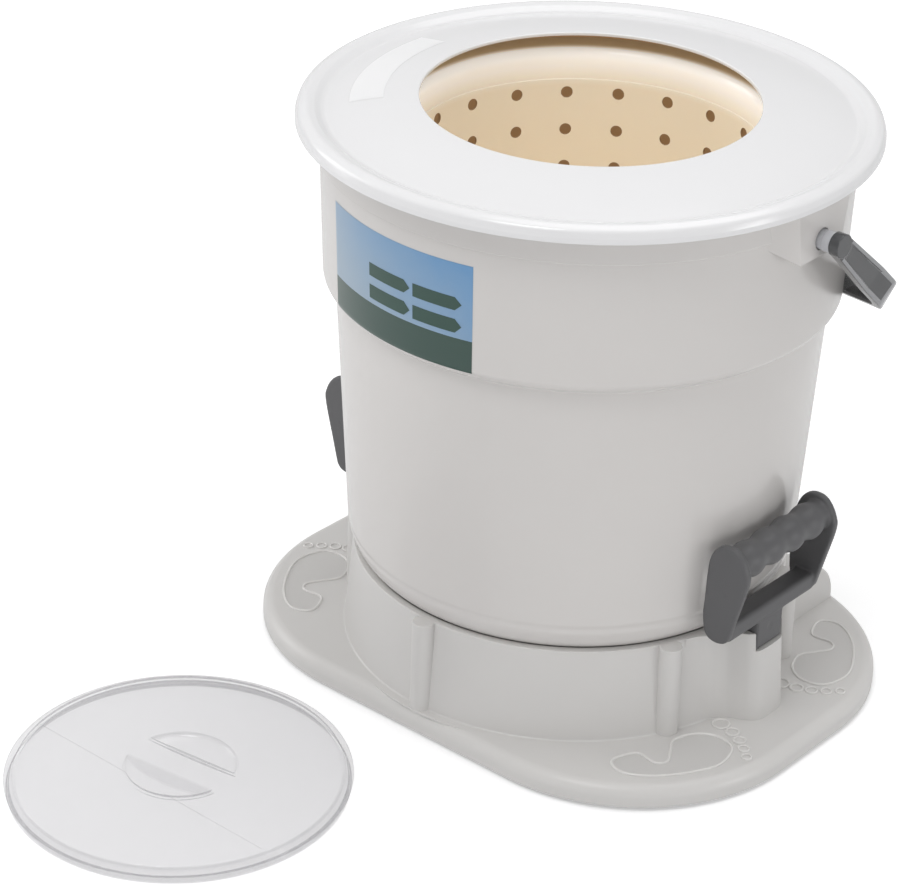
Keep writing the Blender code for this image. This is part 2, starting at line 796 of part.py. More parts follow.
def outer_tub():
    outside = tub_outside()
    floor_top = tub_bottom + tub_floor_thickness
    inside = [(r - tub_wall, z) for r, z in outside[2:]]
    inside = [(r, z) for r, z in inside if z > floor_top + tub_floor_thickness / 2]
    inner_floor_edge = outside[-2][0] - tub_wall
    profile = [(0, floor_top), (inner_floor_edge, floor_top)] + list(reversed(inside))
    collar_inner = collar_radius - 2 * tub_wall
    profile += [(collar_inner, tub_top - cover_wall - tub_wall), (collar_inner, tub_top),
                (collar_radius - tub_wall / 2, tub_top), (collar_radius, tub_top - cover_wall)]
    profile += outside[1:] + [(0, tub_bottom)]
    tub = turned("outer_tub", profile, tub_plastic)
    # The ears' backs end inside the wall's thickness
    middle = tub_wall / 2
    room = turned("tub_room", [(0, tub_top + overrun), (collar_radius - tub_wall, tub_top + overrun),
                               (collar_radius - tub_wall, collar_bottom + tub_wall),
                               (tub_top_radius - middle, collar_bottom),
                               (tub_step_high_radius - middle, tub_step_top), (0, tub_step_top)])
    for side in (1, -1):
        rings = []
        for back in (0, 1):
            x = side * (ear_reach - back * ear_depth)
            top_y = ear_top_half_width + back * ear_flare
            low_y = ear_low_half_width + back * ear_flare
            low_z = collar_bottom - ear_drop + back * ear_rise
            top_z = tub_top - rim_lip_height - gap
            rings.append([(x, -low_y, low_z), (x, low_y, low_z), (x, top_y, top_z), (x, -top_y, top_z)])
        ear = loft("ear", rings)
        cut(ear, room)
        join(tub, ear)
    for side in (1, -1):
        ends = (side * (ear_reach - ear_hole_depth), side * (ear_reach + overrun))
        cut(tub, rod("pivot_hole", (ends[0], 0, pivot_z), (ends[1], 0, pivot_z), pivot_radius + gap))
    for x, y in tub_screw_places:
        join(tub, rod("screw_boss", (x, y, floor_top - gap), (x, y, tub_bottom + tub_screw_boss_height),
                      tub_screw_boss_radius, steps=screw_steps))
    for x, y in housing_screw_places:
        join(tub, rod("housing_boss", (x, y, floor_top - gap), (x, y, tub_bottom + tub_screw_boss_height),
                      tub_screw_boss_radius, steps=screw_steps))
    for x, y in tub_screw_places + housing_screw_places:
        cut(tub, rod("screw_hole", (x, y, tub_bottom - overrun), (x, y, boss_hole_end), screw_radius + gap,
                     steps=screw_steps))
    cut(tub, rod("neck_hole", (0, 0, tub_bottom - overrun), (0, 0, floor_top + overrun), housing_neck_radius + gap))
    cut(tub, rod("drain_hole", (pipe_x, pipe_drop_y, tub_bottom - overrun), (pipe_x, pipe_drop_y, floor_top + overrun),
                 pipe_radius + gap))
    return tub


def top_cover():
    lip_low = tub_top - rim_lip_height
    crown = cover_seat + rim_crown_rise
    groove = cover_seat + groove_rise
    edge_top = opening_z

    def dome(share):
        # From the opening's edge out to the groove, slightly crowned
        r = opening_radius + (groove_radius - opening_radius) * share
        fall = dome_fall_shares[0] * share + dome_fall_shares[1] * share * share
        return (r, edge_top - (edge_top - groove) * fall)

    top = [(opening_radius, edge_top - cover_wall / 3), (opening_radius + cover_wall / 3, edge_top)]
    top += [dome(share) for share in dome_shares]
    drop = crown - lip_low
    reach = rim_radius - rim_crown_radius
    top += [(rim_crown_radius, crown)]
    top += [(rim_crown_radius + a * reach, crown - b * drop) for a, b in rim_shares]
    top += [(rim_radius, lip_low)]
    shoulder = rim_shares[-1][1] * drop
    under = [(rim_radius - cover_wall, lip_low), (rim_radius - cover_wall, crown - shoulder),
             (collar_radius + gap, crown - cover_wall), (collar_radius + gap, cover_seat),
             (collar_radius - 3 * tub_wall, cover_seat)]
    under += [(r, z - cover_wall) for r, z in (dome(share) for share in reversed(dome_shares[:-1]))]
    under += [(opening_radius, edge_top - cover_wall)]
    return turned("top_cover", top + under, white_plastic)


# Bearing housing, bearings and seal

def bearing_housing():
    flange_top = tub_bottom - gap
    flange_low = flange_top - housing_flange_thickness
    pocket = upper_bearing_radius + gap
    bearing_top = upper_bearing_bottom + upper_bearing_height + gap
    low = upper_bearing_bottom - gap - housing_floor
    lip = shaft_radius + 3 * gap
    seal_low = housing_neck_top - seal_drop - seal_height - gap
    seal_pocket = seal_radius + gap
    profile = [(seal_pocket, housing_neck_top), (housing_neck_radius, housing_neck_top),
               (housing_neck_radius, flange_top), (housing_flange_radius, flange_top),
               (housing_flange_radius, flange_low), (housing_body_radius, flange_low), (housing_body_radius, low),
               (lip, low), (lip, low + housing_floor), (pocket, low + housing_floor), (pocket, bearing_top),
               (lip, bearing_top), (lip, seal_low), (seal_pocket, seal_low)]
    housing = turned("bearing_housing", profile, black_plastic, steps=small_steps)
    for x, y in housing_screw_places:
        cut(housing, rod("housing_hole", (x, y, flange_low - overrun), (x, y, flange_top + overrun),
                         screw_radius + gap, steps=screw_steps))
    return housing


def plain_ring(name, inner, outer, bottom, height, material):
    top = bottom + height
    return turned(name, [(inner, top), (outer, top), (outer, bottom), (inner, bottom)], material, steps=small_steps)


def shaft_seal():
    bottom = housing_neck_top - seal_drop - seal_height
    top = bottom + seal_height
    inner = shaft_radius + gap
    lip = (seal_radius + inner) / 2
    shoulder = top - seal_height / 4
    profile = [(inner, top), (lip, shoulder), (seal_radius, shoulder), (seal_radius, bottom), (lip, bottom),
               (inner, top - seal_height / 2)]
    return turned("shaft_seal", profile, rubber, steps=small_steps)


# Basket and shaft

def basket_radius(z):
    low = basket_floor_height
    high = basket_lip_z - basket_lip_round
    share = (z - low) / (high - low)
    return basket_floor_radius + (basket_top_radius - basket_floor_radius) * share


def basket():
    lip = basket_lip_z
    floor = basket_floor_height
    under = floor - basket_wall
    band = lip - basket_band_drop
    wall_top = lip - basket_lip_round
    hub_top = floor + basket_hub_rise
    hub_low = under - basket_hub_drop
    bore = shaft_radius + gap
    r_top = basket_radius(wall_top)
    corner_step = basket_corner_share * basket_corner
    inside = [(bore, hub_top), (basket_hub_radius, hub_top), (basket_hub_foot_radius, floor),
              (basket_radius(floor) - basket_corner, floor),
              (basket_radius(floor) - corner_step, floor + corner_step),
              (basket_radius(floor + basket_corner), floor + basket_corner),
              (basket_radius(band) - basket_band_step, band), (basket_radius(band), band + basket_band_step)]
    for a in (0, 30, 60, 90):
        t = math.radians(a)
        inside.append((r_top + basket_lip_round * (1 - math.cos(t)), wall_top + basket_lip_round * math.sin(t)))
    inside.append((basket_lip_radius - basket_wall, lip))
    outside = [(basket_lip_radius, lip - basket_wall), (basket_lip_radius, lip - basket_lip_turn),
               (basket_lip_radius - basket_wall, lip - basket_lip_turn),
               (basket_lip_radius - basket_wall, lip - basket_wall),
               (r_top + basket_lip_round, lip - basket_wall), (r_top + basket_wall, wall_top - basket_wall),
               (basket_radius(band) + basket_wall, band),
               (basket_radius(floor + basket_corner) + basket_wall, floor + basket_corner),
               (basket_radius(floor) - corner_step + basket_wall, floor + corner_step - basket_wall),
               (basket_radius(floor) - basket_corner, under), (basket_hub_radius + basket_wall, under),
               (basket_hub_radius, hub_low), (bore, hub_low)]
    item = turned("basket", inside + outside, cream_plastic, steps=2 * basket_hole_count)
    item.rotation_euler = (0, 0, math.radians(basket_hole_first_angle + 180 / basket_hole_count / 2))
    holes = []
    for row in range(basket_hole_rows):
        z = lip - basket_first_row_drop - row * basket_hole_pitch
        r = basket_radius(z)
        for x, y in ring_places(1.0, basket_hole_count, basket_hole_first_angle):
            near, far = r - overrun, r + basket_wall + overrun
            holes.append(rod("hole", (x * near, y * near, z), (x * far, y * far, z), basket_hole_radius,
                             steps=basket_hole_sides))
    for x, y in ring_places(floor_hole_circle_radius, floor_hole_count, basket_hole_first_angle):
        holes.append(rod("floor_hole", (x, y, under - overrun), (x, y, floor + overrun), basket_hole_radius,
                         steps=basket_hole_sides))
    cut(item, gathered("basket_holes", holes))
    return item


def drive_shaft():
    hub_low = basket_floor_height - basket_wall - basket_hub_drop
    collar_top = hub_low - gap
    collar_low = collar_top - shaft_collar_height
    shoulder = basket_floor_height + basket_hub_rise - gap
    thread_top = shoulder + gap + washer_thickness + 2 * gap + nut_bore_depth - gap
    profile = [(0, thread_top), (journal_radius, thread_top), (journal_radius, shoulder), (shaft_radius, shoulder),
               (shaft_radius, collar_top), (shaft_collar_radius, collar_top), (shaft_collar_radius, collar_low),
               (shaft_radius, collar_low), (shaft_radius, journal_top), (journal_radius, journal_top),
               (journal_radius, journal_bottom), (0, journal_bottom)]
    return turned("drive_shaft", profile, steel, steps=small_steps)


def basket_nut():
    bottom = basket_floor_height + basket_hub_rise + washer_thickness + 2 * gap
    nut = rod("basket_nut", (0, 0, bottom), (0, 0, bottom + nut_height), nut_radius, steel, steps=6)
    cut(nut, rod("nut_bore", (0, 0, bottom - overrun), (0, 0, bottom + nut_bore_depth), journal_radius + gap,
                 steps=small_steps))
    return nut


# Pulley, clutch and spring

def rope_pulley():
    z0 = pulley_bottom
    groove_1 = z0 + pulley_flange
    middle = groove_1 + groove_width
    groove_2 = middle + pulley_flange
    top_flange = groove_2 + groove_width
    top = top_flange + pulley_flange
    bore = clutch_radius + gap
    lip = shaft_radius + gap
    clutch_low = z0 + clutch_lift
    clutch_top = clutch_low + clutch_length
    profile = [(bore, top + pulley_hub_rise), (pulley_hub_radius, top + pulley_hub_rise), (pulley_hub_radius, top),
               (pulley_flange_radius, top), (pulley_flange_radius, top_flange), (groove_core_radius, top_flange),
               (groove_core_radius, groove_2), (pulley_flange_radius, groove_2), (pulley_flange_radius, middle),
               (groove_core_radius, middle), (groove_core_radius, groove_1), (pulley_flange_radius, groove_1),
               (pulley_flange_radius, z0), (skirt_outer_radius, z0), (skirt_outer_radius, z0 - skirt_drop),
               (skirt_inner_radius, z0 - skirt_drop), (skirt_inner_radius, z0), (lip, z0), (lip, clutch_low - gap),
               (bore, clutch_low - gap), (bore, clutch_top)]
    return turned("rope_pulley", profile, pale_nylon, steps=medium_steps)


def rope_winding(name, middle_z):
    half = groove_width / 2 - gap
    inner = groove_core_radius + gap
    round_off = half / 2
    profile = [(inner, middle_z + half), (winding_radius - round_off, middle_z + half),
               (winding_radius, middle_z + half - round_off), (winding_radius, middle_z - half + round_off),
               (winding_radius - round_off, middle_z - half), (inner, middle_z - half)]
    return turned(name, profile, rope_fibre, steps=medium_steps)


def spring_cup():
    low = cover_plate_top + gap
    floor = low + cup_floor
    boss_top = floor + cup_boss_height
    pocket = lower_bearing_radius + gap
    top = low + cup_height
    profile = [(0, floor), (pocket, floor), (pocket, boss_top), (cup_boss_radius, boss_top), (cup_boss_radius, floor),
               (cup_radius - cup_wall, floor), (cup_radius - cup_wall, top), (cup_radius, top), (cup_radius, low),
               (0, low)]
    return turned("spring_cup", profile, black_plastic, steps=medium_steps)


def recoil_spring():
    # A flat strip wound in a spiral
    bottom = cover_plate_top + gap + cup_floor + spring_lift
    bm = bmesh.new()
    count = spring_turns * spring_steps_a_turn
    verts = []
    for i in range(count + 1):
        a = math.tau * i / spring_steps_a_turn
        r = spring_inner_radius + (spring_outer_radius - spring_inner_radius) * i / count
        verts.append(bm.verts.new((r * math.cos(a), r * math.sin(a), bottom)))
    edges = [bm.edges.new(pair) for pair in zip(verts, verts[1:])]
    raised = bmesh.ops.extrude_edge_only(bm, edges=edges)["geom"]
    raised = [v for v in raised if isinstance(v, bmesh.types.BMVert)]
    bmesh.ops.translate(bm, vec=(0, 0, spring_width), verts=raised)
    mesh = mesh_from(bm, "recoil_spring")
    item = add_object("recoil_spring", mesh, spring_steel)
    wall = item.modifiers.new("strip", "SOLIDIFY")
    wall.thickness = spring_strip
    wall.offset = 0
    return item


# Ropes and rollers

def rope_side(side):
    return right_groove_z if side > 0 else left_groove_z


def rope_run(name, side):
    # From the winding's tangent point along the base and round the lower side of the roller
    z = rope_side(side)
    reach = winding_radius + rope_radius + gap
    roller_z = z + roller_radius + rope_radius
    turn = roller_radius + rope_radius
    away = Vector((roller_x, 0))
    a = math.acos(reach / away.length)
    start = Vector((reach * math.cos(a), reach * math.sin(a)))
    points = [(side * start.x, side * start.y, z)]
    for i in range(rope_turn_steps + 1):
        b = math.radians(90 * i / rope_turn_steps)
        points.append((side * (roller_x + turn * math.sin(b)), 0, roller_z - turn * math.cos(b)))
    return tube(name, points, rope_radius - gap, rope_fibre, resolution=1)


def rope_riser(name, side):
    start = rope_side(side) + roller_radius + rope_radius + gap
    end = pocket_low_z + gap
    x = side * rope_x
    riser = rod(name, (x, 0, start), (x, 0, end), rope_radius - gap, rope_fibre, steps=screw_steps)
    set_origin(riser, (x, 0, start))
    return riser


def rope_knot(name, side):
    centre_z = pocket_low_z + 2 * gap + knot_radius
    bm = bmesh.new()
    bmesh.ops.create_icosphere(bm, subdivisions=2, radius=knot_radius)
    knot = add_object(name, mesh_from(bm, name), rope_fibre)
    knot.location = (side * (rope_x - gap), 0, centre_z)
    return knot


def guide_roller(name, side):
    # A grooved roller on a level pin, built lying on its side
    z = rope_side(side) + roller_radius + rope_radius
    half = roller_half_width
    rim = half - roller_flange
    bore = roller_pin_radius + gap
    profile = [(bore, half), (roller_flange_radius, half), (roller_radius, rim), (roller_radius, -rim),
               (roller_flange_radius, -half), (bore, -half)]
    item = turned(name, profile, pale_nylon, steps=small_steps)
    item.location = (side * roller_x, 0, z)
    item.rotation_euler = (math.radians(90), 0, 0)
    return item


def roller_pin(name, side):
    z = rope_side(side) + roller_radius + rope_radius
    x = side * roller_x
    return rod(name, (x, -roller_pin_half_length, z), (x, roller_pin_half_length, z), roller_pin_radius, steel,
               steps=screw_steps)


# Pull handles: end plate outline as shares of its reach and height

plate_shares = ((0.01, 0.37), (0.05, 0.74), (0.13, 0.88), (0.29, 0.97), (0.50, 1.00), (0.71, 0.98), (0.88, 0.90),
                (0.98, 0.80), (1.00, 0.74), (0.95, 0.61), (0.785, 0.33), (0.665, 0.12), (0.62, 0.06), (0.52, 0.016),
                (0.35, 0.00), (0.17, 0.016), (0.05, 0.09), (0.00, 0.24))


def pull_handle(name, side):
    ends = []
    for way in (1, -1):
        outer = way * handle_half_width
        inner = way * (handle_half_width - handle_plate)
        rings = []
        chamfer = handle_plate / 4
        centre_x = handle_back + handle_reach / 2
        centre_z = handle_low + handle_tall / 2
        for y, shrink in ((outer, 1 - chamfer / handle_reach * 2), (outer - way * chamfer, 1.0), (inner, 1.0)):
            ring = []
            for a, b in plate_shares:
                x = handle_back + a * handle_reach
                z = handle_low + b * handle_tall
                ring.append((side * (centre_x + (x - centre_x) * shrink), y, centre_z + (z - centre_z) * shrink))
            rings.append(ring)
        ends.append(loft("end_plate", rings))
    rings = []
    reach = handle_half_width - handle_plate / 2
    flat = reach - handle_plate
    for i in range(grip_sections):
        y = -reach + 2 * reach * i / (grip_sections - 1)
        wave = 0.5 - 0.5 * math.cos(math.tau * grip_waves * (y + flat) / (2 * flat)) if abs(y) < flat else 0.0
        ring = []
        for j in range(grip_sides):
            a = math.tau * j / grip_sides
            down = max(0.0, -math.sin(a))
            r = grip_radius - grip_wave * (1 - wave) * down
            ring.append((side * (grip_centre_x + r * math.cos(a)), y, grip_centre_z + r * math.sin(a)))
        rings.append(ring)
    grip = loft(name + "_grip", rings, flat_faces=True)
    bar_x = sorted((side * bar_back_x, side * bar_front_x))
    bar = box("bar", (bar_x[0], -reach, bar_low_z), (bar_x[1], reach, bar_top_z))
    stem_x = sorted((side * stem_back_x, side * stem_front_x))
    stem_low = ring_top - notch_drop + gap
    stem = box("stem", (stem_x[0], -stem_half_width, stem_low), (stem_x[1], stem_half_width, bar_top_z - gap))
    handle = solid_copy(grip, name, dark_plastic)
    join(handle, ends[0], ends[1], bar, stem)
    back = min(bar_back_x, stem_back_x) - overrun
    pocket_x = sorted((side * back, side * (rope_x + knot_radius + gap)))
    cut(handle, box("knot_pocket", (pocket_x[0], -pocket_half_width, pocket_low_z),
                    (pocket_x[1], pocket_half_width, pocket_top_z)))
    cut(handle, rod("rope_hole", (side * rope_x, 0, stem_low - overrun), (side * rope_x, 0, pocket_low_z + overrun),
                    rope_radius + gap, steps=screw_steps))
    set_origin(handle, (side * rope_x, 0, pocket_low_z))
    return handle


# Carrying handle

def bail_stations():
    # Half the strap's line, from the right pivot to the middle of the bow:
    # places, the direction of travel, the direction across the strap, and the half-width's share
    leg, bow, turn = (math.radians(a) for a in (bail_leg_angle, bail_bow_angle, bail_turn))
    side = Vector((1, 0, 0))
    leg_out = Vector((0, math.cos(leg), -math.sin(leg)))
    leg_wide = Vector((0, math.sin(leg), math.cos(leg)))
    bow_out = Vector((0, math.cos(bow), -math.sin(bow)))
    bow_wide = Vector((0, math.sin(bow), math.cos(bow)))
    pivot = Vector((bail_half_span, 0, pivot_z))
    corner = pivot + leg_out * bail_leg
    heading = bow_out * math.cos(turn) - side * math.sin(turn)
    bend = leg_out.angle(heading)
    trim = bail_corner_radius * math.tan(bend / 2)
    towards = (heading - leg_out * leg_out.dot(heading)).normalized()
    stations = [(pivot, leg_out, leg_wide, 0.0), (pivot + leg_out * bail_taper_length, leg_out, leg_wide, 1.0)]
    first = corner - leg_out * trim
    for i in range(bail_corner_steps + 1):
        a = bend * i / bail_corner_steps
        place = first + (leg_out * math.sin(a) + towards * (1 - math.cos(a))) * bail_corner_radius
        travel = leg_out * math.cos(a) + towards * math.sin(a)
        share = i / bail_corner_steps
        stations.append((place, travel, leg_wide.lerp(bow_wide, share), 1.0))
    straight_end = corner + heading * bail_straight
    bow_radius = straight_end.x / math.cos(turn)
    for i in range(bail_bow_steps + 1):
        a = turn + (math.pi / 2 - turn) * i / bail_bow_steps
        place = (straight_end - side * bow_radius * (math.cos(turn) - math.cos(a))
                 + bow_out * bow_radius * (math.sin(a) - math.sin(turn)))
        travel = bow_out * math.cos(a) - side * math.sin(a)
        stations.append((place, travel, bow_wide, 1.0))
    return stations


def bail_handle():
    right = bail_stations()
    left = [(Vector((-place.x, place.y, place.z)), Vector((travel.x, -travel.y, -travel.z)), wide, share)
            for place, travel, wide, share in reversed(right[:-1])]
    rings = []
    for place, travel, wide, share in right + left:
        # The strap is a channel: a web outside and two flanges towards the tub
        lean = math.radians(bail_lean) * share
        wide = (wide - travel * travel.dot(wide)).normalized()
        wide = wide * math.cos(lean) + travel.cross(wide) * math.sin(lean)
        inward = wide.cross(travel).normalized()
        half = bail_end_half_width + (bail_half_width - bail_end_half_width) * share
        section = ((0, half), (bail_depth, half), (bail_depth, half - bail_web), (bail_web, half - bail_web),
                   (bail_web, bail_web - half), (bail_depth, bail_web - half), (bail_depth, -half), (0, -half))
        rings.append([place + inward * deep + wide * across for deep, across in section])
    handle = loft("bail_strap", rings)
    handle = solid_copy(handle, "bail_handle", grey_plastic)
    for end in (1, -1):
        ends = (end * (bail_half_span - bail_depth), end * (bail_half_span + gap))
        join(handle, rod("bail_boss", (ends[0], 0, pivot_z), (ends[1], 0, pivot_z), bail_end_half_width + gap))
    for end in (1, -1):
        ends = (end * (bail_half_span - bail_depth - overrun), end * (bail_half_span - bail_web))
        cut(handle, rod("pivot_bore", (ends[0], 0, pivot_z), (ends[1], 0, pivot_z), journal_radius + gap))
    set_origin(handle, (0, 0, pivot_z))
    return handle


def bail_pivot(name, side):
    # The pin turns in the ear's hole, and its neck goes into the strap's boss
    inner_face = bail_half_span - bail_depth - gap
    pin_end = ear_reach - ear_hole_depth + gap
    pin = rod(name, (side * pin_end, 0, pivot_z), (side * inner_face, 0, pivot_z), pivot_radius, pin_plastic)
    join(pin, rod("pin_neck", (side * (inner_face - gap), 0, pivot_z),
                  (side * (bail_half_span - bail_web - gap), 0, pivot_z), journal_radius))
    set_origin(pin, (side * pin_end, 0, pivot_z))
    return pin


# Clear lid

def half_moon(radius, side):
    # Half a disc beyond the middle bar, on the +Y or -Y side
    edge = well_bar_half_width + (well_radius - radius)
    first = math.asin(edge / radius)
    points = []
    for i in range(well_sides + 1):
        a = first + (math.pi - 2 * first) * i / well_sides
        points.append((lid_x + radius * math.cos(a), lid_y + side * radius * math.sin(a)))
    return points


def clear_lid():
    rim_low = lid_skirt_height
    rim_top = rim_low + lid_wall
    top = rim_low + lid_rise
    profile = [(0, top), (lid_step_radius - lid_wall / 2, top), (lid_step_radius, top - lid_wall / 2),
               (lid_step_radius, rim_top), (lid_radius, rim_top), (lid_radius, rim_low), (lid_skirt_radius, rim_low),
               (lid_skirt_radius, 0),
               (lid_skirt_radius - lid_wall, 0), (lid_skirt_radius - lid_wall, rim_low),
               (lid_step_radius - lid_wall, top - lid_wall), (0, top - lid_wall)]
    lid = turned("clear_lid", profile, clear_plastic, steps=lid_steps, centre=(lid_x, lid_y))
    for side in (1, -1):
        join(lid, slab("well", half_moon(well_radius, side), top - well_depth - well_wall, top - gap))
    for side in (1, -1):
        cut(lid, slab("well_room", half_moon(well_radius - well_wall, side), top - well_depth, top + overrun))
    return lid


# Build

base_shell()
bottom_cover()
screws_up("bottom_cover_screw", column_places, plate_bottom, column_hole_end)
foot_places = [(sx * foot_place_x, sy * foot_place_y) for sx in (1, -1) for sy in (1, -1)]
for number, (foot_x, foot_y) in enumerate(foot_places, start=1):
    rubber_foot(number, foot_x, foot_y)
drain_pipe()
outer_tub()
screws_up("tub_screw", tub_screw_places, ledge_top - ledge_thickness, boss_hole_end)
top_cover()
bearing_housing()
screws_up("housing_screw", housing_screw_places, tub_bottom - gap - housing_flange_thickness, boss_hole_end)
plain_ring("upper_bearing", shaft_radius + gap, upper_bearing_radius, upper_bearing_bottom, upper_bearing_height,
           steel)
plain_ring("lower_bearing", journal_radius + gap, lower_bearing_radius, cover_plate_top + cup_floor + 2 * gap,
           lower_bearing_height, steel)
shaft_seal()
basket()
drive_shaft()
plain_ring("basket_washer", journal_radius + gap, washer_radius, basket_floor_height + basket_hub_rise + gap,
           washer_thickness, steel)
basket_nut()
rope_pulley()
plain_ring("one_way_clutch", shaft_radius + gap, clutch_radius, pulley_bottom + clutch_lift, clutch_length, steel)
rope_winding("rope_winding_right", right_groove_z)
rope_winding("rope_winding_left", left_groove_z)
spring_cup()
recoil_spring()
for hand, way in (("right", 1), ("left", -1)):
    rope_run("rope_run_" + hand, way)
    rope_riser("rope_riser_" + hand, way)
    rope_knot("rope_knot_" + hand, way)
    guide_roller("guide_roller_" + hand, way)
    roller_pin("roller_pin_" + hand, way)
    pull_handle("pull_handle_" + hand, way)
    bail_pivot("bail_pivot_" + hand, way)
bail_handle()
clear_lid()
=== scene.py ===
import json
import math

import bmesh
import bpy
from mathutils import Matrix, Vector


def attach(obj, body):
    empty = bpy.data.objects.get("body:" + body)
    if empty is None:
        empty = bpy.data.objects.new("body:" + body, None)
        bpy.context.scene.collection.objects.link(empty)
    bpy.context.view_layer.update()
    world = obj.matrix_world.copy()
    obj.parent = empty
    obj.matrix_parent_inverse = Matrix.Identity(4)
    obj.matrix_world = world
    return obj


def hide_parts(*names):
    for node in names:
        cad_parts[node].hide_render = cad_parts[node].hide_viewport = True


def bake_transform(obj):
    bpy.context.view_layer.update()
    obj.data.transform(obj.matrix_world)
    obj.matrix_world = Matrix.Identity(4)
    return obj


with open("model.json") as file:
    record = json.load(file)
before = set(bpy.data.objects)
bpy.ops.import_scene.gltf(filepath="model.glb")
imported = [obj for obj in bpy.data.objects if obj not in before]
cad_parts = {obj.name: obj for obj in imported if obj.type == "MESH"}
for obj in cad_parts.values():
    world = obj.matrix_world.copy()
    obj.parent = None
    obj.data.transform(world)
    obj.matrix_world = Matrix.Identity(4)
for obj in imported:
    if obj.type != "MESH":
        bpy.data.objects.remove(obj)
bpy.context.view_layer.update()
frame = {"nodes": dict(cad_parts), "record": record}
nodes = frame["nodes"]
scene = bpy.context.scene
print("frame loaded:", len(nodes), "nodes")

# Camera, from the photograph's viewing angle

camera = bpy.data.cameras.new("camera")
camera.lens = 126.478
camera.sensor_width = 36
cameraObject = bpy.data.objects.new("camera", camera)
cameraObject.location = (1.15387, -1.49293, 1.19587)
cameraObject.rotation_euler = [math.radians(a) for a in (61.0085, -1.3855, 41.0263)]
scene.collection.objects.link(cameraObject)
scene.camera = cameraObject

# Materials

tones = {
    "whiteCover": (0.815, 0.813, 0.822),
    "tubGrey": (0.672, 0.651, 0.634),
    "plateGrey": (0.650, 0.638, 0.624),
    "cream": (0.930, 0.830, 0.670),
    # Painted highlight on the basket lip's round, and painted shade on its flat top under the cover
    "creamPaintedHighlight": (0.970, 0.935, 0.890),
    "creamPaintedShade": (0.700, 0.530, 0.320),
    # Painted shade in dark brown: the basket's hole walls, and the tub's inside seen through the holes
    "holePaintedShade": (0.300, 0.190, 0.095),
    "insidePaintedShade": (0.270, 0.165, 0.080),
    "gripGrey": (0.108, 0.108, 0.112),
    "bailGrey": (0.056, 0.058, 0.061),
    # Painted highlight: lighter tone on the carrying handle's panel border and bend
    "bailPaintedSheen": (0.235, 0.240, 0.250),
    "pinGrey": (0.480, 0.485, 0.510),
    "clearLid": (0.255, 0.245, 0.270),
    "black": (0.026, 0.026, 0.027),
    "nylon": (0.720, 0.705, 0.650),
    "steel": (0.600, 0.600, 0.610),
    "blueSteel": (0.180, 0.195, 0.240),
    "rubber": (0.040, 0.040, 0.041),
    "rope": (0.520, 0.515, 0.480),
    "labelSky": (0.125, 0.310, 0.570),
    "labelPale": (0.300, 0.400, 0.500),
    "labelGreen": (0.027, 0.068, 0.054),
}


class Shader:
    # A small wrapper round a material's node tree
    def __init__(self, name):
        self.material = bpy.data.materials.new(name)
        self.material.use_nodes = True
        self.tree = self.material.node_tree
        self.base = self.tree.nodes["Principled BSDF"]
        self.places = self.add("ShaderNodeTexCoord").outputs

    def add(self, kind, inputs=None, **values):
        node = self.tree.nodes.new(kind)
        for key, value in values.items():
            setattr(node, key, value)
        self.feed(node, inputs or {})
        return node

    def feed(self, node, inputs):
        # Each input takes a link from a socket, or a fixed value
        for key, value in inputs.items():
            if isinstance(value, bpy.types.NodeSocket):
                self.tree.links.new(value, node.inputs[key])
            else:
                node.inputs[key].default_value = value

    def surface(self, inputs):
        self.feed(self.base, inputs)
        return self.material

    def noise(self, scale, detail=3.0, stretch=None):
        # Noise over the piece's own place, stretched along an axis if asked
        place = self.places["Object"]
        if stretch:
            place = self.add("ShaderNodeMapping", {"Scale": stretch, "Vector": place}).outputs["Vector"]
        return self.add("ShaderNodeTexNoise", {"Scale": scale, "Detail": detail, "Vector": place}).outputs["Fac"]

    def spread(self, value, low=0.0, high=1.0, fromLow=0.3, fromHigh=0.7):
        ends = {"From Min": fromLow, "From Max": fromHigh, "To Min": low, "To Max": high}
        return self.add("ShaderNodeMapRange", {"Value": value, **ends}).outputs["Result"]

    def blend(self, share, first, second):
        # Two colours or sockets mixed by share
        node = self.add("ShaderNodeMix", {"Factor": share}, data_type="RGBA")
        colours = [i for i, socket in enumerate(node.inputs) if socket.type == "RGBA"]
        for i, value in zip(colours, (first, second)):
            self.feed(node, {i: (*value, 1.0) if isinstance(value, tuple) else value})
        return [socket for socket in node.outputs if socket.type == "RGBA"][0]

    def combine(self, operation, *inputs):
        return self.add("ShaderNodeMath", dict(enumerate(inputs)), operation=operation).outputs["Value"]

    def split(self, vector):
        return self.add("ShaderNodeSeparateXYZ", {"Vector": vector}).outputs

    def bump(self, height, strength, distance):
        node = self.add("ShaderNodeBump", {"Strength": strength, "Distance": distance, "Height": height})
        self.surface({"Normal": node.outputs["Normal"]})


def shade(tone, share):
    return tuple(min(1.0, c * share) for c in tone)


def mouldedPlastic(name, tone, rough, variation, grain=0.0, grainScale=1800, coat=0.0, soft=0.0, paintedGlow=0.0):
    # A moulded plastic: cloudy tone, uneven gloss and fine grain; an emission, when asked for, is painted light
    # standing in for the light that comes through a thin wall
    m = Shader(name)
    if grain:
        m.bump(m.noise(grainScale, 2.0), grain, 0.0001)
    return m.surface({
        "Base Color": m.blend(m.spread(m.noise(7.0)), shade(tone, 1 - variation), shade(tone, 1 + variation)),
        "Roughness": m.spread(m.noise(9.0, 2.0), rough * 0.92, rough * 1.1, 0.2, 0.8),
        "Coat Weight": coat, "Coat Roughness": 0.08,
        "Subsurface Weight": soft, "Subsurface Radius": (0.004, 0.003, 0.002), "Subsurface Scale": 1.0,
        "Emission Color": (*tone, 1.0), "Emission Strength": paintedGlow,
    })


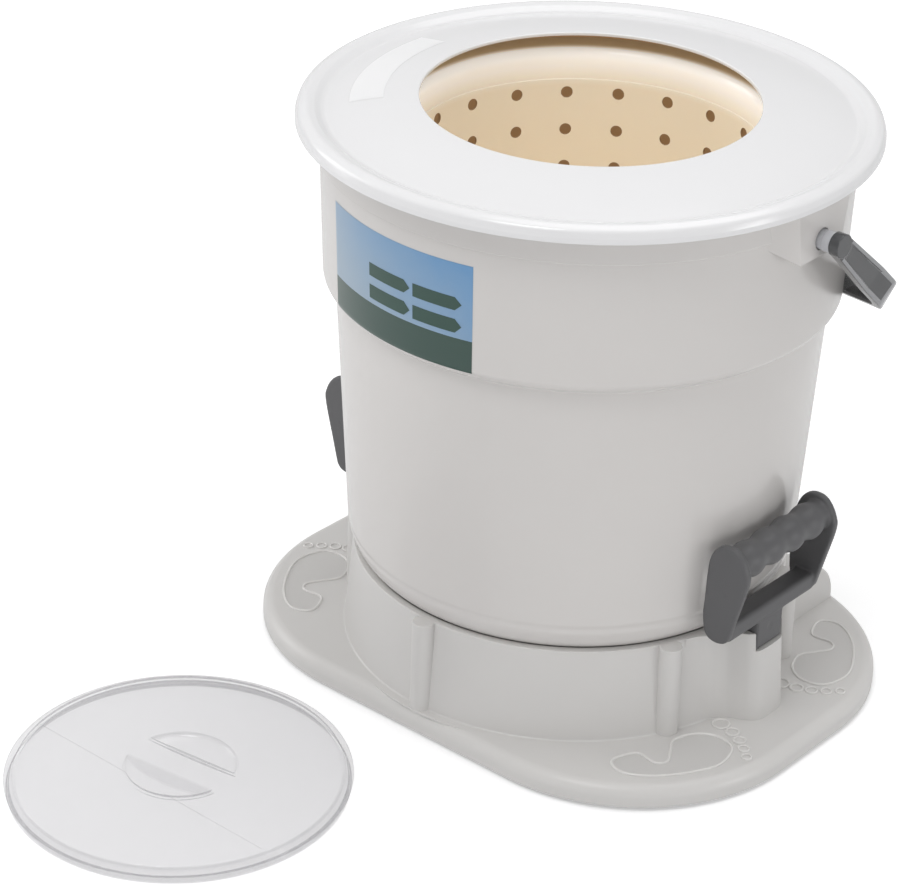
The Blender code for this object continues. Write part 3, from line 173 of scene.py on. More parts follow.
def basketPlastic(name, tone, highlightTone, shadeTone, lip, flat):
    # Thin cream plastic with painted light: the round of the lip is painted paler as a highlight, and its flat top,
    # deep under the cover, is painted brown as shade; the wall and, more strongly, the lip round emit painted light
    m = Shader(name)
    height = m.split(m.places["Object"])["Z"]
    # Heights where the painted highlight on the lip round and the painted shade on the flat top fade in
    highlightShare, shadeShare = m.spread(height, 0.0, 1.0, *lip), m.spread(height, 0.0, 1.0, *flat)
    wall = m.blend(m.spread(m.noise(7.0)), shade(tone, 0.992), shade(tone, 1.008))
    # Painted light: an emission, faint on the wall, stronger on the lip round, slight in the painted shade
    paintedGlow = m.blend(highlightShare, shade(tone, 0.09), shade(highlightTone, 0.30))
    return m.surface({
        "Base Color": m.blend(shadeShare, m.blend(highlightShare, wall, highlightTone), shadeTone),
        "Roughness": m.spread(m.noise(9.0, 2.0), 0.27, 0.33, 0.2, 0.8),
        "Coat Weight": 0.5, "Coat Roughness": 0.08,
        "Subsurface Weight": 0.12, "Subsurface Radius": (0.004, 0.003, 0.002),
        "Emission Color": m.blend(shadeShare, paintedGlow, shade(shadeTone, 0.06)), "Emission Strength": 1.0,
    })


def metal(name, tone, rough, stretch):
    m = Shader(name)
    streaks = m.noise(600.0, stretch=stretch)
    m.bump(streaks, 0.1, 0.0001)
    return m.surface({
        "Base Color": m.blend(m.spread(streaks), shade(tone, 0.85), shade(tone, 1.1)),
        "Roughness": m.spread(streaks, rough * 0.7, rough * 1.4), "Metallic": 1.0,
    })


def ropeFibre(name, tone):
    # Strands that run slantwise along the rope, on the piece's own UV map
    m = Shader(name)
    wave = m.add("ShaderNodeTexWave", {"Scale": 6.0, "Distortion": 0.6, "Vector": m.places["UV"]},
                 wave_type="BANDS", bands_direction="DIAGONAL").outputs["Fac"]
    m.bump(wave, 0.5, 0.0004)
    # The colour darkens where the bump lies low, in the grooves between strands: painted shade
    return m.surface({"Base Color": m.blend(wave, shade(tone, 0.62), shade(tone, 1.12)), "Roughness": 0.85})


def clearPlastic(name, tone):
    # A tinted see-through sheet, denser where its walls stand steep and light would run along inside them
    m = Shader(name)
    level = m.combine("ABSOLUTE", m.split(m.add("ShaderNodeNewGeometry").outputs["Normal"])["Z"])
    lit = m.combine("SUBTRACT", 1.0, m.add("ShaderNodeLightPath").outputs["Is Shadow Ray"])
    return m.surface({
        "Base Color": (*tone, 1.0), "Roughness": m.spread(m.noise(30.0), 0.03, 0.07), "Specular IOR Level": 1.0,
        "Alpha": m.combine("MULTIPLY", m.spread(level, 0.30, 0.20, 0.35, 0.97), lit),
    })


def labelFilm(name):
    # Sky blue that pales towards one corner, over a dark green foot, on the label's UV map
    m = Shader(name)
    uv = m.split(m.places["UV"])
    # Deepest at the upper right corner
    slant = m.combine("ADD", uv["X"], uv["Y"])
    sky = m.blend(m.spread(slant, 0.0, 1.0, 0.55, 1.9), tones["labelPale"], tones["labelSky"])
    sky = m.blend(m.spread(m.noise(28.0, 4.0), 0.0, 0.3), sky, tones["labelPale"])
    foot = m.combine("LESS_THAN", uv["Y"], 0.302)
    return m.surface({"Base Color": m.blend(foot, sky, tones["labelGreen"]), "Roughness": 0.28, "Coat Weight": 0.3})


plastics = {
    # name: tone, roughness, cloudiness and other settings
    "whiteCover": (tones["whiteCover"], 0.22, 0.004, {"coat": 0.25}),
    "tubGrey": (tones["tubGrey"], 0.24, 0.006, {"coat": 0.25}),
    "plateGrey": (tones["plateGrey"], 0.34, 0.010, {}),
    "printGrey": (shade(tones["plateGrey"], 0.92), 0.62, 0.02, {"grain": 0.5}),
    "printLine": (shade(tones["plateGrey"], 1.12), 0.26, 0.01, {}),
    # Painted shade in dark brown that also emits painted light: the basket's hole walls and the tub's inside
    "holePaintedShade": (tones["holePaintedShade"], 0.5, 0.05, {"paintedGlow": 0.2}),
    "tubInsidePaintedShade": (tones["insidePaintedShade"], 0.5, 0.03, {"paintedGlow": 0.5}),
    "gripGrey": (tones["gripGrey"], 0.46, 0.05, {"grain": 0.35, "grainScale": 1400}),
    "bailGrey": (tones["bailGrey"], 0.26, 0.04, {"coat": 0.5}),
    # Painted highlight: lighter tone on the carrying handle's panel border and bend
    "bailPaintedSheen": (tones["bailPaintedSheen"], 0.20, 0.04, {"coat": 1.0}),
    "pinGrey": (tones["pinGrey"], 0.24, 0.04, {"coat": 0.3}),
    "black": (tones["black"], 0.5, 0.08, {"grain": 0.3}),
    "nylon": (tones["nylon"], 0.42, 0.03, {"soft": 0.1}),
    "rubber": (tones["rubber"], 0.82, 0.10, {"grain": 0.5}),
    "paper": ((0.84, 0.84, 0.845), 0.42, 0.01, {"grain": 0.1}),
    "tagGreen": (shade(tones["labelGreen"], 1.15), 0.3, 0.03, {}),
}
finish = {name: mouldedPlastic(name, *values, **more) for name, (*values, more) in plastics.items()}
finish.update({
    # The cream basket, with its painted highlight, painted shade and emitted painted light fading in over these
    # heights
    "cream": basketPlastic("cream", tones["cream"], tones["creamPaintedHighlight"], tones["creamPaintedShade"], (0.370, 0.390),
                           (0.3948, 0.3962)),
    "steel": metal("steel", tones["steel"], 0.26, (1, 1, 12)),
    "blueSteel": metal("blueSteel", tones["blueSteel"], 0.3, (1, 1, 8)),
    "rope": ropeFibre("rope", tones["rope"]),
    "clear": clearPlastic("clear", tones["clearLid"]),
    "label": labelFilm("label"),
})
slots = {
    "whiteCover": "white_plastic", "tubGrey": "tub_plastic", "plateGrey": "base_plastic", "cream": "cream_plastic",
    "gripGrey": "dark_plastic", "bailGrey": "grey_plastic", "pinGrey": "pin_plastic", "clear": "clear_plastic",
    "black": "black_plastic", "nylon": "pale_nylon", "steel": "steel", "blueSteel": "spring_steel",
    "rubber": "rubber", "rope": "rope_fibre",
}
slotFinish = {record: own for own, record in slots.items()}
for part in frame["record"]["subparts"]:
    node = nodes[part["node"]]
    node.data.materials.clear()
    node.data.materials.append(finish[slotFinish[part["material_slot"]]])
print("materials made")


# Modelling helpers

bothSides = {"right": 1, "left": -1}


def between(ends, share):
    return ends[0] + (ends[1] - ends[0]) * share


def polar(radius, angle, z):
    return Vector((radius * math.cos(angle), radius * math.sin(angle), z))


def meshFrom(bm, name):
    mesh = bpy.data.meshes.new(name)
    bm.to_mesh(mesh)
    bm.free()
    return mesh


def placeMesh(mesh, name):
    item = bpy.data.objects.new(name, mesh)
    scene.collection.objects.link(item)
    return item


def meshOf(item):
    # The object's mesh after its modifiers
    return bpy.data.meshes.new_from_object(item.evaluated_get(bpy.context.evaluated_depsgraph_get()))


def takeIn(bm, other):
    # The other shape becomes a part of the first
    mesh = meshFrom(other, "part")
    bm.from_mesh(mesh)
    bpy.data.meshes.remove(mesh)


def grid(across, up, bm=None):
    if bm is None:
        bm = bmesh.new()
    bmesh.ops.create_grid(bm, x_segments=across, y_segments=up, size=1.0)
    return bm


def roundEdges(bm, edges, offset, segments=3):
    bmesh.ops.bevel(bm, geom=edges, offset=offset, segments=segments, profile=0.5, affect="EDGES", material=-1)


def closeHoles(bm):
    bmesh.ops.holes_fill(bm, edges=[e for e in bm.edges if e.is_boundary], sides=0)


def ringEdges(bm, verts):
    return [bm.edges.new((verts[i - 1], verts[i])) for i in range(len(verts))]


def bridgeRings(bm, rings):
    for lower, upper in zip(rings, rings[1:]):
        bmesh.ops.bridge_loops(bm, edges=lower + upper)


def modify(item, name, kind, **values):
    modifier = item.modifiers.new(name, kind)
    for key, value in values.items():
        setattr(modifier, key, value)


def roundedPath(points, closed=True, steps=5):
    # Points of (a, b) or (a, b, radius): a corner with a radius becomes an arc
    result = []
    count = len(points)
    for i, point in enumerate(points):
        here = Vector(point[:2])
        radius = point[2] if len(point) > 2 else 0.0
        if not radius or (not closed and i in (0, count - 1)):
            result.append(here)
            continue
        before = Vector(points[i - 1][:2]) - here
        after = Vector(points[(i + 1) % count][:2]) - here
        half = before.angle(after) / 2
        reach = min(radius / math.tan(half), 0.48 * before.length, 0.48 * after.length)
        radius = reach * math.tan(half)
        middle = here + (before.normalized() + after.normalized()).normalized() * radius / math.sin(half)
        first = here + before.normalized() * reach - middle
        last = here + after.normalized() * reach - middle
        sweep = first.angle_signed(last)
        for k in range(steps + 1):
            a = -sweep * k / steps
            result.append(middle + Vector((first.x * math.cos(a) - first.y * math.sin(a),
                                           first.x * math.sin(a) + first.y * math.cos(a))))
    return [tuple(p) for p in result]


def smoothLoop(points, steps=6, closed=True):
    # A smooth curve through points of any size
    count = len(points)
    result = []
    for i in range(count if closed else count - 1):
        p0, p1, p2, p3 = (Vector(points[(i + k) % count] if closed else points[min(max(i + k, 0), count - 1)])
                          for k in (-1, 0, 1, 2))
        for k in range(steps):
            t = k / steps
            result.append(0.5 * (2 * p1 + (p2 - p0) * t + (2 * p0 - 5 * p1 + 4 * p2 - p3) * t * t
                                 + (3 * p1 - p0 - 3 * p2 + p3) * t ** 3))
    if not closed:
        result.append(Vector(points[-1]))
    return result


def addPiece(name, bm, material, body="", replaced=(), sharp=35, extra=()):
    bmesh.ops.remove_doubles(bm, verts=bm.verts[:], dist=0.000002)
    bmesh.ops.recalc_face_normals(bm, faces=bm.faces[:])
    mesh = meshFrom(bm, name)
    item = placeMesh(mesh, name)
    for key in (material, *extra):
        mesh.materials.append(finish[key])
    mesh.shade_smooth()
    mesh.set_sharp_from_angle(angle=math.radians(sharp))
    if body:
        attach(item, body)
    if replaced:
        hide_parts(*replaced)
    return item


def turnedShape(profile, steps, centre=(0, 0), closed=True, start=0.0):
    # A profile of (radius, height) points spun round an upright line
    bm = bmesh.new()
    verts = [bm.verts.new(polar(r, start, z)) for r, z in profile]
    edges = [bm.edges.new(pair) for pair in zip(verts, verts[1:])]
    if closed and (profile[0][0] > 0 or profile[-1][0] > 0):
        edges.append(bm.edges.new((verts[-1], verts[0])))
    bmesh.ops.spin(bm, geom=verts + edges, cent=(0, 0, 0), axis=(0, 0, 1), angle=math.tau, steps=steps,
                   use_merge=True)
    bmesh.ops.remove_doubles(bm, verts=bm.verts[:], dist=0.000002)
    bmesh.ops.translate(bm, vec=(*centre, 0), verts=bm.verts[:])
    return bm


def outlineSlab(points, bottom, top, edge=0.0, segments=3):
    # A flat outline raised to a slab, its upper edge rounded if asked
    bm = bmesh.new()
    face = bm.faces.new([bm.verts.new((x, y, bottom)) for x, y in points])
    raised = bmesh.ops.extrude_face_region(bm, geom=[face])["geom"]
    lifted = [v for v in raised if isinstance(v, bmesh.types.BMVert)]
    bmesh.ops.translate(bm, vec=(0, 0, top - bottom), verts=lifted)
    if edge:
        roundEdges(bm, [e for e in bm.edges if all(v.co.z > top - 0.00001 for v in e.verts)], edge, segments)
    return bm


def block(low, high, edge=0.0, segments=3):
    low, high = Vector(low), Vector(high)
    bm = bmesh.new()
    bmesh.ops.create_cube(bm, size=1.0)
    bmesh.ops.scale(bm, vec=high - low, verts=bm.verts[:])
    bmesh.ops.translate(bm, vec=(low + high) / 2, verts=bm.verts[:])
    if edge:
        roundEdges(bm, bm.edges[:], edge, segments)
    return bm


def sideBlock(side, across, half, heights, edge=0.0, segments=3):
    # A block over ranges of X and Z, mirrored with the side
    ends = sorted(side * x for x in across)
    return block((ends[0], -half, heights[0]), (ends[1], half, heights[1]), edge, segments)


def pin(start, end, radius, steps=48, edge=0.0, endRadius=None):
    start, end = Vector(start), Vector(end)
    turn = (end - start).to_track_quat("Z", "Y").to_matrix().to_4x4()
    bm = bmesh.new()
    bmesh.ops.create_cone(bm, cap_ends=True, segments=steps, radius1=radius, radius2=endRadius or radius,
                          depth=(end - start).length)
    if edge:
        roundEdges(bm, [e for e in bm.edges if abs(e.verts[0].co.z - e.verts[1].co.z) < 0.000001], edge)
    bm.transform(Matrix.Translation((start + end) / 2) @ turn)
    return bm


def post(x, y, low, high, radius, **more):
    return pin((x, y, low), (x, y, high), radius, **more)


def sidePin(side, start, end, z, radius, **more):
    return pin((side * start, 0, z), (side * end, 0, z), radius, **more)


def helper(bm):
    # A shape that only cuts or joins another, and is removed after use
    bmesh.ops.recalc_face_normals(bm, faces=bm.faces[:])
    return placeMesh(meshFrom(bm, "helper"), "helper")


def carve(bm, joined=(), cut=(), remesh=0.0, smooth=0):
    # The shape with others joined on and cut out, as a new mesh; remesh gives it moulded, rounded corners
    item = helper(bm)
    helpers = [(helper(other), "UNION") for other in joined] + [(helper(other), "DIFFERENCE") for other in cut]
    for other, operation in helpers:
        modify(item, "carve", "BOOLEAN", operation=operation, object=other, solver="EXACT")
    if remesh:
        modify(item, "voxels", "REMESH", mode="VOXEL", voxel_size=remesh)
        modify(item, "soften", "SMOOTH", factor=0.5, iterations=smooth)
    bpy.context.view_layer.update()
    result = bmesh.new()
    result.from_mesh(meshOf(item))
    bpy.data.objects.remove(item, do_unlink=True)
    for other, operation in helpers:
        bpy.data.objects.remove(other, do_unlink=True)
    return result


def evenNormals(item):
    # Large flat faces keep flat shading beside rounded edges
    modify(item, "evenNormals", "WEIGHTED_NORMAL", keep_sharp=True)


# Tub

tub = {
    "floorZ": 0.0773, "floorEdge": 0.1271, "cornerZ": 0.108, "lowRadius": 0.1535, "stepLowRadius": 0.1631,
    "stepLowZ": 0.2815, "stepHighRadius": 0.1714, "stepHighZ": 0.2877, "topRadius": 0.1741,
    "collarRadius": 0.1763, "collarZ": 0.3752, "topZ": 0.3973, "wall": 0.0022, "steps": 160,
    "stepHighSoftness": 0.007, "stepLowSoftness": 0.0012, "hollow": 0.0007, "hollowZ": 0.1025, "hollowHalf": 0.0022,
    "drainX": 0.098, "drainY": 0.040, "drainRadius": 0.0093, "neckRadius": 0.0148, "boreLow": 0.07, "boreHigh": 0.09,
}


def tubOutside():
    t = tub
    path = [(t["collarRadius"] - 0.0012, t["topZ"], 0.0004), (t["collarRadius"], t["topZ"] - 0.0024, 0.001),
            (t["collarRadius"], t["collarZ"], 0.0008), (t["topRadius"], t["collarZ"] - 0.0006, 0.0012),
            (t["stepHighRadius"], t["stepHighZ"], t["stepHighSoftness"]),
            (t["stepLowRadius"], t["stepLowZ"], t["stepLowSoftness"])]
    for i in range(37):
        a = math.radians(2.5 * i)
        z = t["cornerZ"] - (t["cornerZ"] - t["floorZ"]) * math.sin(a)
        dip = t["hollow"] * math.exp(-((z - t["hollowZ"]) / t["hollowHalf"]) ** 2)
        path.append((t["floorEdge"] + (t["lowRadius"] - t["floorEdge"]) * math.cos(a) - dip, z))
    return roundedPath(path, closed=False, steps=8)


tubPath = tubOutside()


def tubRadius(z):
    # The wall's outer radius at a height
    for (r1, z1), (r2, z2) in zip(tubPath, tubPath[1:]):
        if z2 <= z <= z1 and z1 > z2:
            return r1 + (r2 - r1) * (z1 - z) / (z1 - z2)
    return tub["lowRadius"]


def makeTub():
    wall = tub["wall"]
    inside = [(r - wall, z) for r, z in tubPath if tub["floorZ"] + 0.006 < z < tub["collarZ"] - 0.004]
    floorTop = tub["floorZ"] + 0.003
    profile = tubPath + [(0, tub["floorZ"]), (0, floorTop), (tub["floorEdge"] - 0.001, floorTop)]
    profile += list(reversed(inside)) + [(tub["collarRadius"] - 2 * wall, tub["collarZ"] + 0.012),
                                         (tub["collarRadius"] - 2 * wall, tub["topZ"])]
    shell = turnedShape(profile, tub["steps"])
    low, high = tub["boreLow"], tub["boreHigh"]
    shell = carve(shell, cut=[post(0, 0, low, high, tub["neckRadius"]),
                              post(tub["drainX"], tub["drainY"], low, high, tub["drainRadius"])])
    piece = addPiece("tubShell", shell, "tubGrey", "base", ["outer_tub"], sharp=32, extra=["tubInsidePaintedShade"])
    # Inside faces of the wall take the second material: painted shade in dark brown that also emits painted light
    for face in piece.data.polygons:
        inward = face.normal.x * face.center.x + face.normal.y * face.center.y < 0
        if inward and tub["floorZ"] + 0.004 < face.center.z < tub["collarZ"]:
            face.material_index = 1
    evenNormals(piece)


makeTub()

ear = {
    "reach": 0.185, "depth": 0.019, "topHalf": 0.0272, "lowHalf": 0.0217, "flare": 0.0184, "lowZ": 0.3584,
    "rise": 0.0133, "topZ": 0.3944, "holeRadius": 0.0073, "holeDepth": 0.006, "pivotZ": 0.3705, "edge": 0.0010,
}


def makeEars():
    for name, side in bothSides.items():
        bm = bmesh.new()
        bmesh.ops.create_cube(bm, size=1.0)
        for v in bm.verts:
            back = 1 if v.co.x < 0 else 0
            low = v.co.z < 0
            half = (ear["lowHalf"] if low else ear["topHalf"]) + back * ear["flare"]
            v.co = Vector((side * (ear["reach"] - back * ear["depth"]), math.copysign(half, v.co.y),
                           ear["lowZ"] + back * ear["rise"] if low else ear["topZ"]))
        roundEdges(bm, bm.edges[:], ear["edge"])
        hole = sidePin(side, ear["reach"] - ear["holeDepth"], ear["reach"] + 0.004, ear["pivotZ"], ear["holeRadius"])
        evenNormals(addPiece("ear_" + name, carve(bm, cut=[hole]), "tubGrey", "base"))


makeEars()
print("tub made")

# Top cover

cover = {
    "openingRadius": 0.1102, "openingZ": 0.4110, "wall": 0.0024, "grooveRadius": 0.1722, "grooveZ": 0.4012,
    "rimRadius": 0.190, "lipZ": 0.3948, "steps": 192, "evenFall": 0.55, "lateFall": 0.45,
    "bead": ((0.1775, 0.4043, 0.0050), (0.1832, 0.4058, 0.0060), (0.1884, 0.4032, 0.0045)), "skirtZ": 0.3985,
    "seat": ((0.1815, 0.4018, 0.001), (0.1815, 0.3976), (0.1746, 0.3976)),
}


def coverZ(share):
    # The dome's height, from the opening to the groove, falling more steeply towards the groove
    fall = cover["evenFall"] * share + cover["lateFall"] * share * share
    return cover["openingZ"] - (cover["openingZ"] - cover["grooveZ"]) * fall


def makeCover():
    c = cover
    dome = [(between((c["openingRadius"], c["grooveRadius"]), i / 12), coverZ(i / 12)) for i in range(1, 12)]
    top = [(c["openingRadius"], c["openingZ"] - c["wall"], 0.0004), (c["openingRadius"], c["openingZ"], 0.0011)]
    outer, inner = c["rimRadius"], c["rimRadius"] - c["wall"]
    rim = [(c["grooveRadius"], c["grooveZ"], 0.0060), *c["bead"], (outer, c["skirtZ"], 0.0040),
           (outer, c["lipZ"], 0.0008), (inner, c["lipZ"], 0.0004), (inner, c["skirtZ"], 0.003), *c["seat"]]
    under = [(r, z - c["wall"]) for r, z in reversed(dome)]
    shell = turnedShape(roundedPath(top + dome + rim + under), c["steps"])
    evenNormals(addPiece("topCover", shell, "whiteCover", "base", ["top_cover"], sharp=40))


makeCover()
print("cover made")

# Basket: one cell of the wall has one hole, and the cells repeat round and down

basket = {
    "floorZ": 0.0985, "lipZ": 0.3964, "topRadius": 0.1190, "floorRadius": 0.1130, "lipRound": 0.0082,
    "lipRadius": 0.142, "lipTurn": 0.006, "bandZ": 0.3739, "bandStep": 0.0008, "wall": 0.002,
    "hubRadius": 0.016, "hubFoot": 0.030, "hubRise": 0.0185, "bore": 0.0063,
    "holeRadius": 0.0041, "edge": 0.0003, "holeCount": 21, "firstAngle": 15.8, "firstRowZ": 0.3647, "pitch": 0.027,
    "rows": 10, "cellSteps": 10, "ringShare": 0.6,
}


def basketRadius(z):
    b = basket
    return between((b["floorRadius"], b["topRadius"]), (z - b["floorZ"]) / (b["lipZ"] - b["lipRound"] - b["floorZ"]))


def piercedRadius(z):
    # The wall with the holes stands a little inside the band above it
    return basketRadius(z) - basket["bandStep"]


def basketCell(holeZ, low, high):
    # One cell round its hole, across in turns and up in metres
    b = basket
    inner = b["ringShare"]
    cell = grid(b["cellSteps"], b["cellSteps"])
    middle = [f for f in cell.faces if max(abs(f.calc_center_median().x), abs(f.calc_center_median().y)) < inner]
    bmesh.ops.delete(cell, geom=middle, context="FACES")
    for v in cell.verts:
        m = max(abs(v.co.x), abs(v.co.y))
        t = (m - inner) / (1 - inner)
        unit = Vector((v.co.x, v.co.y)).normalized()
        edgeX, edgeY = v.co.x / m, v.co.y / m
        across = edgeX * (math.tau / b["holeCount"]) / 2
        up = low + (high - low) * (edgeY + 1) / 2
        v.co.x = (1 - t) * unit.x * b["holeRadius"] / basketRadius(holeZ) + t * across
        v.co.y = (1 - t) * (holeZ + unit.y * b["holeRadius"]) + t * up
    return cell


def makeBasket():
    b = basket
    cellTurn = math.tau / b["holeCount"]
    first = math.radians(b["firstAngle"])
    bm = bmesh.new()
    for row in range(b["rows"]):
        holeZ = b["firstRowZ"] - row * b["pitch"]
        high = b["bandZ"] if row == 0 else holeZ + b["pitch"] / 2
        mesh = meshFrom(basketCell(holeZ, holeZ - b["pitch"] / 2, high), "cell")
        for k in range(b["holeCount"]):
            start = len(bm.verts)
            bm.from_mesh(mesh)
            bm.verts.ensure_lookup_table()
            for v in bm.verts[start:]:
                v.co = polar(piercedRadius(v.co.y), first + k * cellTurn + v.co.x, v.co.y)
        bpy.data.meshes.remove(mesh)
    # The rest is spun, with a line of points at each of the wall's columns
    bottomZ = b["firstRowZ"] - (b["rows"] - 0.5) * b["pitch"]
    hubZ = b["floorZ"] + b["hubRise"]
    low = roundedPath([(b["bore"], hubZ, 0), (b["hubRadius"], hubZ, 0.002), (b["hubFoot"], b["floorZ"], 0.008),
                       (piercedRadius(b["floorZ"]), b["floorZ"], 0.009), (piercedRadius(bottomZ), bottomZ)],
                      closed=False, steps=6)
    lip, curl = b["lipZ"], b["lipRound"]
    r = basketRadius(lip - curl)
    high = [(piercedRadius(b["bandZ"]), b["bandZ"]), (basketRadius(b["bandZ"]), b["bandZ"] + 0.0005)]
    high += [(r + curl * (1 - math.cos(math.radians(a))), lip - curl * (1 - math.sin(math.radians(a))))
             for a in range(0, 91, 10)]
    high += roundedPath([(r + curl + 0.001, lip), (b["lipRadius"] - b["wall"], lip, 0.002),
                         (b["lipRadius"] - b["wall"], lip - b["lipTurn"])], closed=False)
    for profile in (low, high):
        takeIn(bm, turnedShape(profile, b["holeCount"] * b["cellSteps"], closed=False, start=first - cellTurn / 2))
    bmesh.ops.remove_doubles(bm, verts=bm.verts[:], dist=0.00002)
    piece = addPiece("basketShell", bm, "cream", "spinner", ["basket"], sharp=50, extra=["holePaintedShade"])
    # The sheet's normals point to the axis, and the wall grows away from it
    face = max(piece.data.polygons, key=lambda f: f.area if f.center.z > 0.3 else 0)
    outward = face.normal.dot(Vector((face.center.x, face.center.y, 0)))
    # The rim faces of the solidified sheet, the hole walls among them, take the second material: painted shade in dark
    # brown
    modify(piece, "wall", "SOLIDIFY", thickness=b["wall"], offset=1 if outward > 0 else -1, use_even_offset=False,
           material_offset_rim=1)
    modify(piece, "edges", "BEVEL", width=b["edge"], segments=2, limit_method="ANGLE", angle_limit=math.radians(55),
           harden_normals=True)


makeBasket()
print("basket made")

# Foot plate and ring wall

plate = {
    "length": 0.4228, "width": 0.325, "corner": 0.1287, "bottomZ": 0.003, "topZ": 0.0175, "wall": 0.003,
    "edge": 0.0085, "edgeSteps": 6,
}
ring = {
    "inner": 0.1435, "topWall": 0.0058, "footWall": 0.0115, "topZ": 0.0835, "fillet": 0.0014, "ledge": 0.024,
    "ledgeZ": 0.0770, "ledgeWall": 0.003, "columnRadius": 0.0075, "columnCircle": 0.1525,
    "columnAngles": (-90, -25, 25, 90, 155, 205), "recessRadius": 0.0044, "recessDepth": 0.0032, "steps": 160,
}
socket = {
    "reach": 0.178, "draft": 0.0055, "breadth": 0.040, "frontWall": 0.0045, "roomHalf": 0.0148, "roomBack": 0.137,
    "notchHalf": 0.0145, "notchDrop": 0.0135, "edge": 0.0008,
    "shares": ((-0.10, 1.30), (0.03, 1.10), (0.16, 0.96), (0.275, 0.80), (0.42, 0.64), (0.68, 0.52), (0.855, 0.43),
               (0.97, 0.30), (1.00, 0.13)),
}
hood = {"low": (0.074, 0.098), "high": (0.1215, 0.151), "height": 0.0335, "round": 0.030, "edge": 0.002}
pipe = {"x": 0.098, "z": 0.0325, "radius": 0.009, "wall": 0.0018, "topY": 0.040, "topZ": 0.0785, "turn": 0.018,
        "boreY": 0.058}
printLines = {
    "sole": ((135, 112), (137, 120), (149, 123), (166, 112), (181, 92), (189, 72), (184, 52), (169, 47.5),
             (156, 55), (150, 70), (156, 82), (162, 93), (157, 100), (142, 99)),
    "toes": ((161.5, 34, 5.6), (172.8, 36.5, 4.4), (182, 41, 3.9), (190, 47, 3.5), (197, 53.5, 3.1)),
    "lineRadius": 0.0010, "toeShare": 0.8, "lineLift": 0.0003, "fieldHeight": 0.00012,
}


def plateOutline(inset=0.0, steps=24):
    halfX, halfY, corner = plate["length"] / 2 - inset, plate["width"] / 2 - inset, plate["corner"] - inset
    points = []
    for k, (sx, sy) in enumerate(((1, 1), (-1, 1), (-1, -1), (1, -1))):
        for i in range(steps + 1):
            a = math.radians(90 * (k + i / steps))
            points.append((sx * (halfX - corner) + corner * math.cos(a), sy * (halfY - corner) + corner * math.sin(a)))
    return points


def socketBlock(side):
    # Drawn in at the top, with a smooth flare into the ring
    top, edge = ring["topZ"] - 0.0001, socket["edge"]
    front = socket["reach"] - socket["draft"]
    levels = [(plate["topZ"] - 0.002, socket["reach"], 0.0)]
    levels += [(top - edge * (1 - math.sin(math.radians(a))), front, edge * (1 - math.cos(math.radians(a))))
               for a in (0, 30, 60, 90)]
    bm = bmesh.new()
    rings = []
    for z, reach, drawn in levels:
        run = reach - drawn - ring["inner"]
        half = [(side * (ring["inner"] + a * run), b * (socket["breadth"] - drawn)) for a, b in socket["shares"]]
        outline = smoothLoop(half + [(x, -y) for x, y in reversed(half)], steps=5, closed=False)
        rings.append(ringEdges(bm, [bm.verts.new((p.x, p.y, z)) for p in outline]))
    bridgeRings(bm, rings)
    closeHoles(bm)
    return bm


def makeBase():
    p, r = plate, ring
    shell = outlineSlab(plateOutline(), p["bottomZ"], p["topZ"], p["edge"], p["edgeSteps"])
    hollow = outlineSlab(plateOutline(p["wall"]), -0.002, p["topZ"] - p["wall"])
    head, foot = r["inner"] + r["topWall"], r["inner"] + r["footWall"]
    wallPath = roundedPath([(r["inner"], r["topZ"], 0.0006), (head, r["topZ"], 0.0008), (foot, p["topZ"], r["fillet"]),
                            (foot + 0.006, p["topZ"] - 0.0001), (foot + 0.006, p["topZ"] - p["wall"] / 2),
                            (r["inner"], p["topZ"] - p["wall"] / 2)])
    joined = [turnedShape(wallPath, r["steps"])]
    cut = [hollow]
    for degrees in r["columnAngles"]:
        x, y = polar(r["columnCircle"], math.radians(degrees), 0).xy
        joined.append(post(x, y, 0.008, r["topZ"] - 0.0001, r["columnRadius"] + 0.0008, edge=0.0006,
                           endRadius=r["columnRadius"]))
        cut.append(post(x, y, r["topZ"] - r["recessDepth"], r["topZ"] + 0.003, r["recessRadius"], steps=6))
    joined += [socketBlock(side) for side in bothSides.values()]
    low, high = hood["low"], hood["high"]
    box = block((*low, p["topZ"] - 0.002), (*high, p["topZ"] + hood["height"]))
    top = [e for e in box.edges if all(v.co.y > high[1] - 0.00001 and v.co.z > p["topZ"] + 0.001 for v in e.verts)]
    roundEdges(box, top, hood["round"], 14)
    outer = [e for e in box.edges if e.calc_face_angle(0.0) > 0.7 and max(v.co.z for v in e.verts) > p["topZ"] + 0.001]
    roundEdges(box, outer, hood["edge"])
    well = post(0, 0, 0.0, r["topZ"] + 0.01, r["inner"], steps=r["steps"])
    shell = carve(shell, joined=joined + [box], cut=cut + [well])
    ends = r["inner"] - r["ledge"], r["inner"] + 0.002
    ledgeLow = r["ledgeZ"] - r["ledgeWall"]
    ledge = turnedShape([(ends[0], r["ledgeZ"]), (ends[1], r["ledgeZ"]), (ends[1], ledgeLow), (ends[0], ledgeLow)],
                        r["steps"])
    cut = []
    front = socket["reach"] - socket["draft"] - socket["frontWall"]
    above = r["topZ"] + 0.004
    for side in bothSides.values():
        cut.append(sideBlock(side, (socket["roomBack"], front), socket["roomHalf"], (0.010, above)))
        cut.append(sideBlock(side, (front - 0.004, socket["reach"] + 0.004), socket["notchHalf"],
                             (r["topZ"] - socket["notchDrop"], above)))
    cut.append(pin((pipe["x"], pipe["boreY"], pipe["z"]), (pipe["x"], high[1] + 0.004, pipe["z"]),
                   pipe["radius"] + 0.0003))
    evenNormals(addPiece("baseShell", carve(shell, joined=[ledge], cut=cut), "plateGrey", "base", ["base_shell"],
                         sharp=32))


makeBase()


